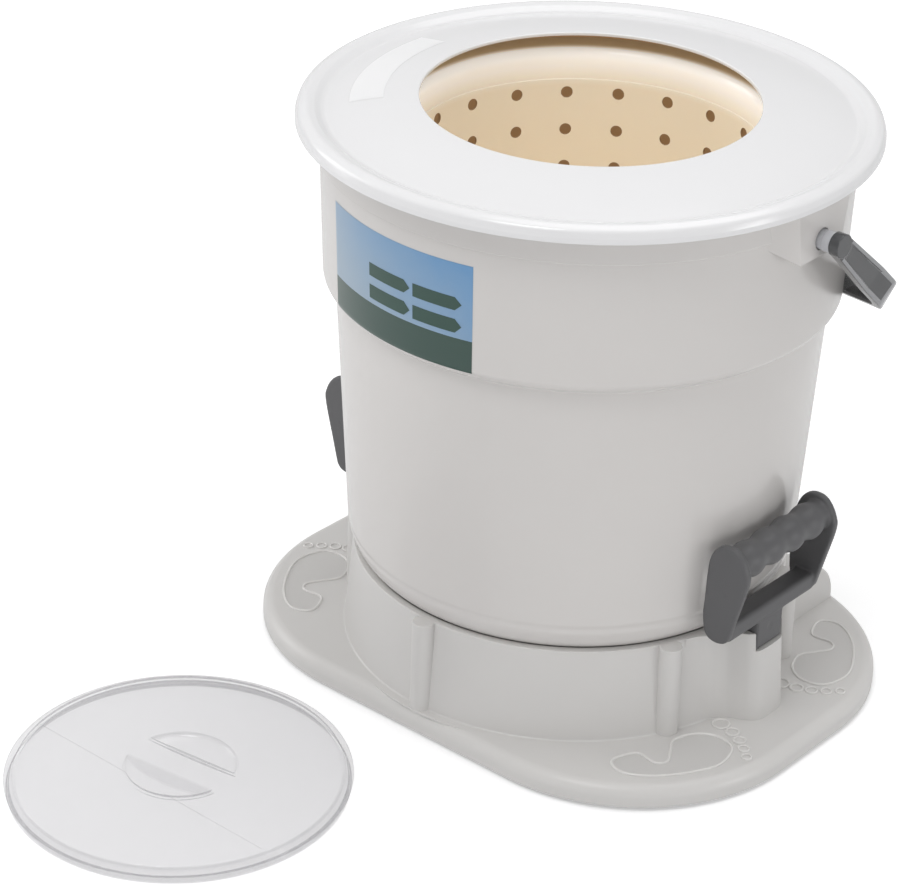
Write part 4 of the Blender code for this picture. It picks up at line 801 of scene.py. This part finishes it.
def makeFootprints():
    lines, fields = bmesh.new(), bmesh.new()
    top = plate["topZ"]
    sole = smoothLoop([(x / 1000, y / 1000) for x, y in printLines["sole"]], steps=6)
    for signX, signY in ((1, 1), (1, -1), (-1, 1), (-1, -1)):
        loops = [[(signX * v.x, signY * v.y) for v in sole]]
        for x, y, size in printLines["toes"]:
            loops.append([(signX * (x + size * math.cos(a)) / 1000, signY * (y + size * math.sin(a)) / 1000)
                          for a in (math.tau * i / 24 for i in range(24))])
        for number, loop in enumerate(loops):
            curve = bpy.data.curves.new("line", "CURVE")
            curve.dimensions = "3D"
            curve.bevel_depth = printLines["lineRadius"] * (1 if number == 0 else printLines["toeShare"])
            curve.bevel_resolution = 3
            spline = curve.splines.new("POLY")
            spline.points.add(len(loop) - 1)
            for point, (x, y) in zip(spline.points, loop):
                point.co = (x, y, top + printLines["lineLift"], 1)
            spline.use_cyclic_u = True
            guide = placeMesh(curve, "line")
            lines.from_mesh(meshOf(guide))
            bpy.data.objects.remove(guide, do_unlink=True)
        takeIn(fields, outlineSlab(loops[0], top - 0.0005, top + printLines["fieldHeight"]))
    addPiece("footprintLines", lines, "printLine", "base")
    addPiece("footprintFields", fields, "printGrey", "base")


makeFootprints()
print("base made")

# Drain pipe


def makePipe():
    turn = pipe["turn"]
    points = [(pipe["x"], pipe["topY"], pipe["topZ"])]
    for degrees in range(0, 91, 6):
        a = math.radians(degrees)
        points.append((pipe["x"], pipe["topY"] + turn * (1 - math.cos(a)), pipe["z"] + turn * (1 - math.sin(a))))
    points.append((pipe["x"], hood["high"][1], pipe["z"]))
    points = [Vector(point) for point in points]
    bm = bmesh.new()
    rings = []
    for i, here in enumerate(points):
        ahead = (points[min(i + 1, len(points) - 1)] - points[max(i - 1, 0)]).normalized() if i else Vector((0, 0, -1))
        turned = ahead.to_track_quat("Z", "X").to_matrix().to_4x4()
        made = bmesh.ops.create_circle(bm, cap_ends=False, radius=pipe["radius"], segments=48,
                                       matrix=Matrix.Translation(here) @ turned)
        rings.append(list({e for v in made["verts"] for e in v.link_edges}))
    bridgeRings(bm, rings)
    piece = addPiece("drainPipe", bm, "black", "base", ["drain_pipe"], sharp=40)
    modify(piece, "wall", "SOLIDIFY", thickness=pipe["wall"], offset=-1)


makePipe()
print("pipe made")

# Pull handles

grip = {
    "half": 0.0507, "plate": 0.005, "back": 0.1512, "reach": 0.0335, "low": 0.0898, "tall": 0.0742,
    "centreX": 0.1708, "centreZ": 0.1493, "radius": 0.0124, "wave": 0.0026, "waves": 4, "topWave": 0.0016,
    "barX": (0.1565, 0.1722), "barZ": (0.0912, 0.1045), "stemHalf": 0.0140, "stemX": (0.1600, 0.1712),
    "stemLow": 0.0703, "pocketHalf": 0.0075, "pocketX": 0.1706, "pocketZ": (0.0885, 0.1000), "voxel": 0.0008,
    "boreX": 0.1655, "boreRadius": 0.0026, "endMark": (0.1690, 0.1290, 0.0012, 0.0004),
    "stemMark": (0.0840, 0.0035, 0.0003),
    "shares": ((0.01, 0.37), (0.05, 0.74), (0.13, 0.88), (0.29, 0.97), (0.50, 1.00), (0.71, 0.98), (0.88, 0.90),
               (0.98, 0.80), (1.00, 0.74), (0.95, 0.61), (0.785, 0.33), (0.665, 0.12), (0.62, 0.06), (0.52, 0.016),
               (0.35, 0.00), (0.17, 0.016), (0.05, 0.09), (0.00, 0.24)),
}


def makeHandle(name, side):
    g = grip
    outline = smoothLoop([(g["back"] + a * g["reach"], g["low"] + b * g["tall"]) for a, b in g["shares"]], steps=3)
    ends = []
    for way in (1, -1):
        slab = outlineSlab([(p.x, p.y) for p in outline], 0, g["plate"], 0.0013)
        # The outline lies in x and z, and its thickness runs along y
        slab.transform(Matrix(((side, 0, 0, 0), (0, 0, way, way * (g["half"] - g["plate"])), (0, 1, 0, 0),
                               (0, 0, 0, 1))))
        ends.append(slab)
    reach = g["half"] - g["plate"] / 2
    flat = reach - g["plate"]
    bar = grid(48, 90)
    for v in bar.verts:
        a, y = v.co.x * math.pi, v.co.y * reach
        crest = 0.5 - 0.5 * math.cos(math.tau * g["waves"] * (y + flat) / (2 * flat)) if abs(y) < flat else 0.0
        under = 0.5 - 0.5 * math.sin(a)
        r = g["radius"] - (1 - crest) * (g["topWave"] + (g["wave"] - g["topWave"]) * under)
        v.co = Vector((side * (g["centreX"] + r * math.cos(a)), y, g["centreZ"] + r * math.sin(a)))
    bmesh.ops.remove_doubles(bar, verts=bar.verts[:], dist=0.00001)
    bmesh.ops.holes_fill(bar, edges=bar.edges[:], sides=0)
    crossBar = sideBlock(side, g["barX"], reach, g["barZ"], 0.003)
    stem = sideBlock(side, g["stemX"], g["stemHalf"], (g["stemLow"], g["barZ"][1] - 0.003), 0.0012, 2)
    inner = min(g["barX"][0], g["stemX"][0]) - 0.004
    pocket = sideBlock(side, (inner, g["pocketX"]), g["pocketHalf"], g["pocketZ"])
    bore = post(side * g["boreX"], 0, g["stemLow"] - 0.004, g["pocketZ"][0] + 0.004, g["boreRadius"], steps=20)
    shape = carve(bar, joined=[*ends, crossBar, stem], cut=[pocket, bore], remesh=g["voxel"], smooth=4)
    # Small round moulding marks on the end plates and the stem
    endX, endZ, *endMark = g["endMark"]
    stemZ, *stemMark = g["stemMark"]
    for v in shape.verts:
        for centre, (size, deep) in (((side * endX, -g["half"], endZ), endMark),
                                     ((side * g["stemX"][1], 0.0, stemZ), stemMark)):
            gone = (v.co - Vector(centre)).length
            if gone < size:
                inward = Vector((0, 1, 0)) if centre[1] else Vector((-side, 0, 0))
                v.co += inward * deep * (1 - (gone / size) ** 2)
    addPiece("pullHandle_" + name, shape, "gripGrey", name + "_pull", ["pull_handle_" + name], sharp=60)


for name, side in bothSides.items():
    makeHandle(name, side)
print("handles made")

# Ropes: three strands laid round each other along the path

rope = {
    "radius": 0.0017, "lay": 0.012, "valley": 0.22, "sides": 24, "step": 0.0012,
    "x": 0.1655, "rollerX": 0.1535, "turn": 0.012, "low": {"right": 0.025, "left": 0.033}, "top": 0.0888,
    "tangent": (0.00882, 0.03573), "gap": 0.0003, "leave": 0.069, "enter": 0.0703,
    "woundRadii": (0.0300, 0.0327), "woundSway": 0.00095, "woundTurns": (0.12, 1.88), "woundSteps": 260,
    "climb": (0.86, 0.28),
    "knotX": 0.1652, "knotZ": 0.0939, "knotRing": 0.0019, "knotWeave": 0.0010, "knotTall": 0.0026, "knotSteps": 72,
}


def layRope(points, radius, closed=False):
    bm = bmesh.new()
    uv = bm.loops.layers.uv.verify()
    around = bm.verts.layers.float.new("around")
    along = bm.verts.layers.float.new("along")
    points = [Vector(p) for p in points]
    count, sides = len(points), rope["sides"]
    side = None
    gone = 0.0
    rings = []
    for i, here in enumerate(points):
        if closed:
            travel = (points[(i + 1) % count] - points[i - 1]).normalized()
        else:
            travel = (points[min(i + 1, count - 1)] - points[max(i - 1, 0)]).normalized()
        if side is None:
            side = travel.orthogonal().normalized()
        side = (side - travel * travel.dot(side)).normalized()
        up = travel.cross(side)
        gone += (here - points[i - 1]).length if i else 0.0
        made = bmesh.ops.create_circle(bm, cap_ends=False, radius=radius, segments=sides)["verts"]
        for v in made:
            a = math.atan2(v.co.y, v.co.x)
            strand = abs(math.cos(1.5 * (a - math.tau * gone / rope["lay"])))
            r = radius * (1 - rope["valley"] * (1 - strand ** 0.6))
            v[around] = a / math.tau + 0.5
            v[along] = gone / (math.tau * radius)
            v.co = here + side * r * math.cos(a) + up * r * math.sin(a)
        rings.append(list({e for v in made for e in v.link_edges}))
    bridgeRings(bm, rings + rings[:1] if closed else rings)
    if not closed:
        closeHoles(bm)
    for face in bm.faces:
        turns = [loop.vert[around] for loop in face.loops]
        seam = max(turns) - min(turns) > 0.5
        for loop, turn in zip(face.loops, turns):
            loop[uv].uv = (turn + (1 if seam and turn < 0.5 else 0), loop.vert[along])
    return bm


def pathPoints(corners, step):
    # Points a step apart on straight lines between corners
    result = []
    for start, end in zip(corners, corners[1:]):
        start, end = Vector(start), Vector(end)
        pieces = max(1, round((end - start).length / step))
        result += [start.lerp(end, k / pieces) for k in range(pieces)]
    return result + [Vector(corners[-1])]


def makeRopes():
    def lay(kind, name, points, body="", closed=False):
        return addPiece("rope" + kind + "_" + name, layRope(points, rope["radius"], closed), "rope", body,
                        ["rope_" + kind.lower() + "_" + name], sharp=80)

    for name, side in bothSides.items():
        z = rope["low"][name]
        centreZ = z + rope["turn"]
        start = side * rope["tangent"][0], side * rope["tangent"][1], z
        points = pathPoints([start, (side * rope["rollerX"], 0, z)], rope["step"])
        for i in range(1, 17):
            a = math.radians(90 * i / 16)
            points.append(Vector((side * (rope["rollerX"] + rope["turn"] * math.sin(a)), 0,
                                  centreZ - rope["turn"] * math.cos(a))))
        lay("Run", name, points, "base")
        x = side * rope["x"]
        riser = lay("Riser", name, pathPoints([(x, 0, centreZ + rope["gap"]), (x, 0, rope["top"])], rope["step"]))
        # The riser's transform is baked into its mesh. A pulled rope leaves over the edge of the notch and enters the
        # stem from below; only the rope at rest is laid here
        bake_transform(riser)
        knot = []
        for i in range(rope["knotSteps"]):
            t = math.tau * i / rope["knotSteps"]
            r = rope["knotRing"] + rope["knotWeave"] * math.cos(3 * t)
            knot.append((side * rope["knotX"] + r * math.cos(2 * t), r * math.sin(2 * t),
                         rope["knotZ"] + rope["knotTall"] * math.sin(3 * t)))
        lay("Knot", name, knot, name + "_pull", closed=True)
        # The second turn climbs on to the first
        wound = []
        for i in range(rope["woundSteps"] + 1):
            t = between(rope["woundTurns"], i / rope["woundSteps"])
            share = min(1.0, max(0.0, (t - rope["climb"][0]) / rope["climb"][1]))
            share = share * share * (3 - 2 * share)
            wound.append(polar(between(rope["woundRadii"], share), side * math.tau * t,
                               z + rope["woundSway"] * (2 * share - 1)))
        lay("Winding", name, wound, "reel")


makeRopes()
print("ropes made")

# Carrying handle

bail = {
    "span": 0.2015, "leg": 0.0820, "legAngle": 43, "bowAngle": 29, "turn": 45, "cornerRadius": 0.020,
    "straight": 0.120, "lean": 8, "depth": 0.007, "web": 0.0022, "endHalf": 0.0076, "half": 0.0098, "taper": 0.055,
    "panelStart": 0.006, "panelEnd": 0.070, "pivotZ": 0.3705, "pinRadius": 0.0070, "pinTip": 0.0066, "pinHead": 0.005,
    "bore": 0.0053, "panel": 0.0011, "panelEdge": 0.0026, "sheenEnd": 0.094, "play": 0.0003,
}


def bailStations():
    b = bail
    leg, bow, turn = (math.radians(b[k]) for k in ("legAngle", "bowAngle", "turn"))
    side = Vector((1, 0, 0))
    legOut, bowOut = (Vector((0, math.cos(a), -math.sin(a))) for a in (leg, bow))
    legWide, bowWide = (Vector((0, math.sin(a), math.cos(a))) for a in (leg, bow))
    pivot = Vector((b["span"], 0, b["pivotZ"]))
    corner = pivot + legOut * b["leg"]
    heading = bowOut * math.cos(turn) - side * math.sin(turn)
    bend = legOut.angle(heading)
    trim = b["cornerRadius"] * math.tan(bend / 2)
    towards = (heading - legOut * legOut.dot(heading)).normalized()
    stations = []
    for i in range(19):
        share = i / 18
        stations.append((pivot + legOut * b["taper"] * share, legOut, legWide, share))
    first = corner - legOut * trim
    for i in range(11):
        a = bend * i / 10
        place = first + (legOut * math.sin(a) + towards * (1 - math.cos(a))) * b["cornerRadius"]
        stations.append((place, legOut * math.cos(a) + towards * math.sin(a), legWide.lerp(bowWide, i / 10), 1.0))
    end = corner + heading * b["straight"]
    radius = end.x / math.cos(turn)
    for i in range(17):
        a = turn + (math.pi / 2 - turn) * i / 16
        place = end - side * radius * (math.cos(turn) - math.cos(a)) + bowOut * radius * (math.sin(a) - math.sin(turn))
        stations.append((place, bowOut * math.cos(a) - side * math.sin(a), bowWide, 1.0))
    return stations


def makeBail():
    b = bail
    right = bailStations()
    left = [(Vector((-p.x, p.y, p.z)), Vector((t.x, -t.y, -t.z)), w, share) for p, t, w, share in reversed(right[:-1])]
    bm = bmesh.new()
    rings = []
    for place, travel, wide, share in right + left:
        lean = math.radians(b["lean"]) * share
        wide = (wide - travel * travel.dot(wide)).normalized()
        wide = wide * math.cos(lean) + travel.cross(wide) * math.sin(lean)
        inward = wide.cross(travel).normalized()
        half = between((b["endHalf"], b["half"]), share)
        d, w = b["depth"], b["web"]
        # The recessed panel runs along the legs and ends before the corners
        near = (place - Vector((math.copysign(b["span"], place.x), 0, b["pivotZ"]))).length
        shown = min(1.0, max(0.0, (near - b["panelStart"]) / 0.003))
        shown *= min(1.0, max(0.0, (b["panelEnd"] - near) / 0.004))
        k = b["panel"] * max(shown, 0.02)
        inside = half - b["panelEdge"]
        section = roundedPath([(0, half, 0.0012), (d, half, 0.0005), (d, half - w, 0.0005), (w, half - w, 0.0006),
                               (w, w - half, 0.0006), (d, w - half, 0.0005), (d, -half, 0.0005), (0, -half, 0.0012),
                               (0, -inside, 0.0002), (k, 0.0008 - inside, 0.0002), (k, inside - 0.0008, 0.0002),
                               (0, inside, 0.0002)], steps=2)
        rings.append(ringEdges(bm, [bm.verts.new(place + inward * deep + wide * across) for deep, across in section]))
    bridgeRings(bm, rings)
    closeHoles(bm)
    joined, cut = [], []
    inner = b["span"] - b["depth"]
    for side in bothSides.values():
        joined.append(sidePin(side, inner, b["span"] + b["play"], b["pivotZ"], b["endHalf"] + b["play"], edge=0.0006))
        cut.append(sidePin(side, inner - 0.004, b["span"] - b["web"], b["pivotZ"], b["bore"]))
    piece = addPiece("bailStrap", carve(bm, joined=joined, cut=cut), "bailGrey", "bail", ["bail_handle"], sharp=40,
                     extra=["bailPaintedSheen"])
    # The raised border of the panel and the bend after it take a lighter tone, a painted highlight, with a glossier
    # coat
    leg = math.radians(b["legAngle"])
    for face in piece.data.polygons:
        side = math.copysign(1, face.center.x)
        gone = face.center - Vector((side * b["span"], 0, b["pivotZ"]))
        across = gone.y * math.sin(leg) + gone.z * math.cos(leg)
        border = abs(across) > b["endHalf"] - b["panelEdge"] + 0.0006 or gone.length > b["panelEnd"] - 0.003
        if side * face.normal.x > 0.55 and b["panelStart"] + 0.003 < gone.length < b["sheenEnd"] and border:
            face.material_index = 1
    evenNormals(piece)
    inner, neck = inner - b["play"], b["span"] - b["web"] - b["play"]
    start = ear["reach"] - ear["holeDepth"] + b["play"]
    profile = roundedPath([(0, start), (b["pinTip"], start, 0.0004), (b["pinTip"], start + 0.009, 0.0004),
                           (b["pinRadius"], start + 0.0095, 0.0004), (b["pinRadius"], inner, 0.0006),
                           (b["pinHead"], inner, 0.0004), (b["pinHead"], neck, 0.0004), (0, neck)])
    for name, side in bothSides.items():
        shape = turnedShape(profile, 64)
        # Turned upright, then laid along X through the pivot line
        shape.transform(Matrix(((0, 0, side, 0), (0, 1, 0, 0), (-side, 0, 0, b["pivotZ"]), (0, 0, 0, 1))))
        addPiece("bailPin_" + name, shape, "pinGrey", "bail", ["bail_pivot_" + name])


makeBail()
print("carrying handle made")

# Clear lid on the floor

lid = {
    "x": -0.074, "y": -0.307, "radius": 0.114, "skirtRadius": 0.1095, "footRadius": 0.1128, "skirtHeight": 0.0055,
    "wall": 0.002, "rise": 0.005, "stepRadius": 0.1085, "wellRadius": 0.0385, "barHalf": 0.0098, "wellDepth": 0.0070,
    "wellWall": 0.0018, "wellTurn": 7, "wellLean": 0.8, "wellShift": (-0.002, 0.0035), "lineY": -0.0285,
    "lineHalf": 0.0003, "lineHeight": 0.00025,
}


def cutOff(bm, place, normal):
    # Cut off on the normal's side, and closed there
    geom = bm.verts[:] + bm.edges[:] + bm.faces[:]
    bmesh.ops.bisect_plane(bm, geom=geom, plane_co=place, plane_no=normal, clear_outer=True)
    closeHoles(bm)


def scoop(radius, deep, edge, side, top):
    # Half of a shallow bowl, cut off beside the bar and level with the lid's top
    bm = bmesh.new()
    bmesh.ops.create_uvsphere(bm, u_segments=72, v_segments=48, radius=1.0)
    for v in bm.verts:
        if v.co.z < 0:
            v.co.z = -abs(v.co.z) ** 0.75
    bmesh.ops.scale(bm, vec=(radius, radius, deep), verts=bm.verts[:])
    cutOff(bm, (0, side * edge, 0), (0, -side, -lid["wellLean"]))
    bm.transform(Matrix.Rotation(math.radians(lid["wellTurn"]), 4, "Z"))
    across, back = lid["wellShift"]
    bmesh.ops.translate(bm, vec=(lid["x"] + across, lid["y"] + back, top), verts=bm.verts[:])
    return bm


def makeLid():
    d = lid
    rim, top = d["skirtHeight"], d["skirtHeight"] + d["rise"]
    w = d["wall"]
    profile = roundedPath([(0, top), (d["stepRadius"], top, 0.0012), (d["stepRadius"], rim + w, 0.0008),
                           (d["radius"], rim + w, 0.0007), (d["radius"], rim, 0.0007),
                           (d["skirtRadius"], rim - 0.0006, 0.0008), (d["footRadius"], 0.0008, 0.0006),
                           (d["footRadius"] - 0.0006, 0, 0.0005), (d["footRadius"] - w, 0, 0.0006),
                           (d["skirtRadius"] - w, rim, 0.0008), (d["stepRadius"] - w, top - w, 0.0012), (0, top - w)],
                          steps=4)
    shell = turnedShape(profile, 160, centre=(d["x"], d["y"]))
    joined, cut = [], []
    for side in (1, -1):
        outer = scoop(d["wellRadius"], d["wellDepth"] + d["wellWall"], d["barHalf"], side, top - 0.0002)
        cutOff(outer, (0, 0, top - 0.0002), (0, 0, 1))
        joined.append(outer)
        cut.append(scoop(d["wellRadius"] - d["wellWall"], d["wellDepth"], d["barHalf"] + d["wellWall"], side, top))
    # A faint straight flow line runs across it, in front of the wells
    reach = math.sqrt(d["stepRadius"] ** 2 - d["lineY"] ** 2) - 0.003
    joined.append(block((d["x"] - reach, d["y"] + d["lineY"] - d["lineHalf"], top - 0.001),
                        (d["x"] + reach, d["y"] + d["lineY"] + d["lineHalf"], top + d["lineHeight"])))
    evenNormals(addPiece("clearLid", carve(shell, joined=joined, cut=cut), "clear", "lid", ["clear_lid"]))


makeLid()
print("lid made")

# Label on the wall and sticker on the cover

label = {
    "angles": (-117.3, -74.6), "heights": (0.2887, 0.3630), "stand": 0.00012,
    # left, right, low and high edge of each tag, as shares of the label
    "tags": ((0.348, 0.638, 0.560, 0.682), (0.348, 0.638, 0.350, 0.479), (0.657, 0.942, 0.560, 0.682),
             (0.657, 0.942, 0.350, 0.479)),
    "tagPoint": 0.13,
}


def onWall(u, v, stand):
    # A place on the wall from shares of the label's width and height
    z = between(label["heights"], v)
    return polar(tubRadius(z) + stand, math.radians(between(label["angles"], u)), z)


def makeLabel():
    bm = grid(64, 60)
    uv = bm.loops.layers.uv.verify()
    for face in bm.faces:
        for loop in face.loops:
            loop[uv].uv = ((loop.vert.co.x + 1) / 2, (loop.vert.co.y + 1) / 2)
    for v in bm.verts:
        v.co = onWall((v.co.x + 1) / 2, (v.co.y + 1) / 2, label["stand"])
    addPiece("wallLabel", bm, "label", "base")
    tags = bmesh.new()
    for left, right, low, high in label["tags"]:
        start = len(tags.verts)
        grid(20, 6, tags)
        tags.verts.ensure_lookup_table()
        for v in tags.verts[start:]:
            body = 1 - label["tagPoint"] * abs(v.co.y)
            v.co = onWall(between((left, right), (v.co.x + 1) / 2 * body), between((low, high), (v.co.y + 1) / 2),
                          label["stand"] * 2)
    addPiece("labelTags", tags, "tagGreen", "base")


makeLabel()

sticker = {"radii": (0.1330, 0.1550), "angles": (-184, -137.5), "stand": 0.00012}


def makeSticker():
    bm = grid(10, 36)
    for v in bm.verts:
        r = between(sticker["radii"], (v.co.x + 1) / 2)
        a = math.radians(between(sticker["angles"], (v.co.y + 1) / 2))
        share = (r - cover["openingRadius"]) / (cover["grooveRadius"] - cover["openingRadius"])
        v.co = polar(r, a, coverZ(share) + sticker["stand"])
    addPiece("coverSticker", bm, "paper", "base")


makeSticker()
print("label and sticker made")

# Floor, light and world

floor = bmesh.new()
bmesh.ops.create_grid(floor, x_segments=2, y_segments=2, size=6.0)
floorObject = placeMesh(meshFrom(floor, "floor"), "floor")
m = Shader("floor")
rays = m.add("ShaderNodeLightPath").outputs
seen = m.combine("MAXIMUM", rays["Is Camera Ray"], rays["Is Transmission Ray"])
floorObject.data.materials.append(m.surface({
    "Base Color": (0.86, 0.86, 0.865, 1), "Roughness": 0.6, "Specular IOR Level": 0.2,
    "Emission Color": (1, 1, 1, 1), "Emission Strength": m.combine("MULTIPLY", seen, 0.35),
}))

lights = {
    # name: place, aim, width, height, power
    "key": ((0.2, -1.5, 2.8), (0, 0, 0.3), 1.0, 1.0, 21),
    "fill": ((0.2, -2.4, 0.35), (0, 0, 0.1), 1.6, 0.6, 4),
    "left": ((-2.5, -0.9, 1.2), (0, 0, 0.2), 1.2, 1.8, 16),
    "right": ((2.2, 0.35, 0.40), (0, 0, 0.2), 0.6, 0.6, 6),
    "overhead": ((0.1, 0.6, 2.6), (0, 0, 0.3), 1.8, 1.8, 20.5),
}
for name, (place, aim, width, height, power) in lights.items():
    lamp = bpy.data.lights.new(name, "AREA")
    lamp.shape = "RECTANGLE"
    lamp.size = width
    lamp.size_y = height
    lamp.energy = power
    lampObject = bpy.data.objects.new(name, lamp)
    lampObject.location = place
    lampObject.rotation_euler = (Vector(aim) - Vector(place)).to_track_quat("-Z", "Y").to_euler()
    scene.collection.objects.link(lampObject)

world = bpy.data.worlds.new("studio")
scene.world = world
world.use_nodes = True
tree = world.node_tree
background = tree.nodes["Background"]
background.inputs["Color"].default_value = (1, 1, 1, 1)
rays = tree.nodes.new("ShaderNodeLightPath")
seen = tree.nodes.new("ShaderNodeMath")
seen.operation = "MAXIMUM"
tree.links.new(rays.outputs["Is Camera Ray"], seen.inputs[0])
tree.links.new(rays.outputs["Is Transmission Ray"], seen.inputs[1])
level = tree.nodes.new("ShaderNodeMapRange")
level.inputs["To Min"].default_value = 0.50
level.inputs["To Max"].default_value = 1.0
tree.links.new(seen.outputs["Value"], level.inputs["Value"])
tree.links.new(level.outputs["Result"], background.inputs["Strength"])
scene.view_settings.view_transform = "Standard"
print("stage made")
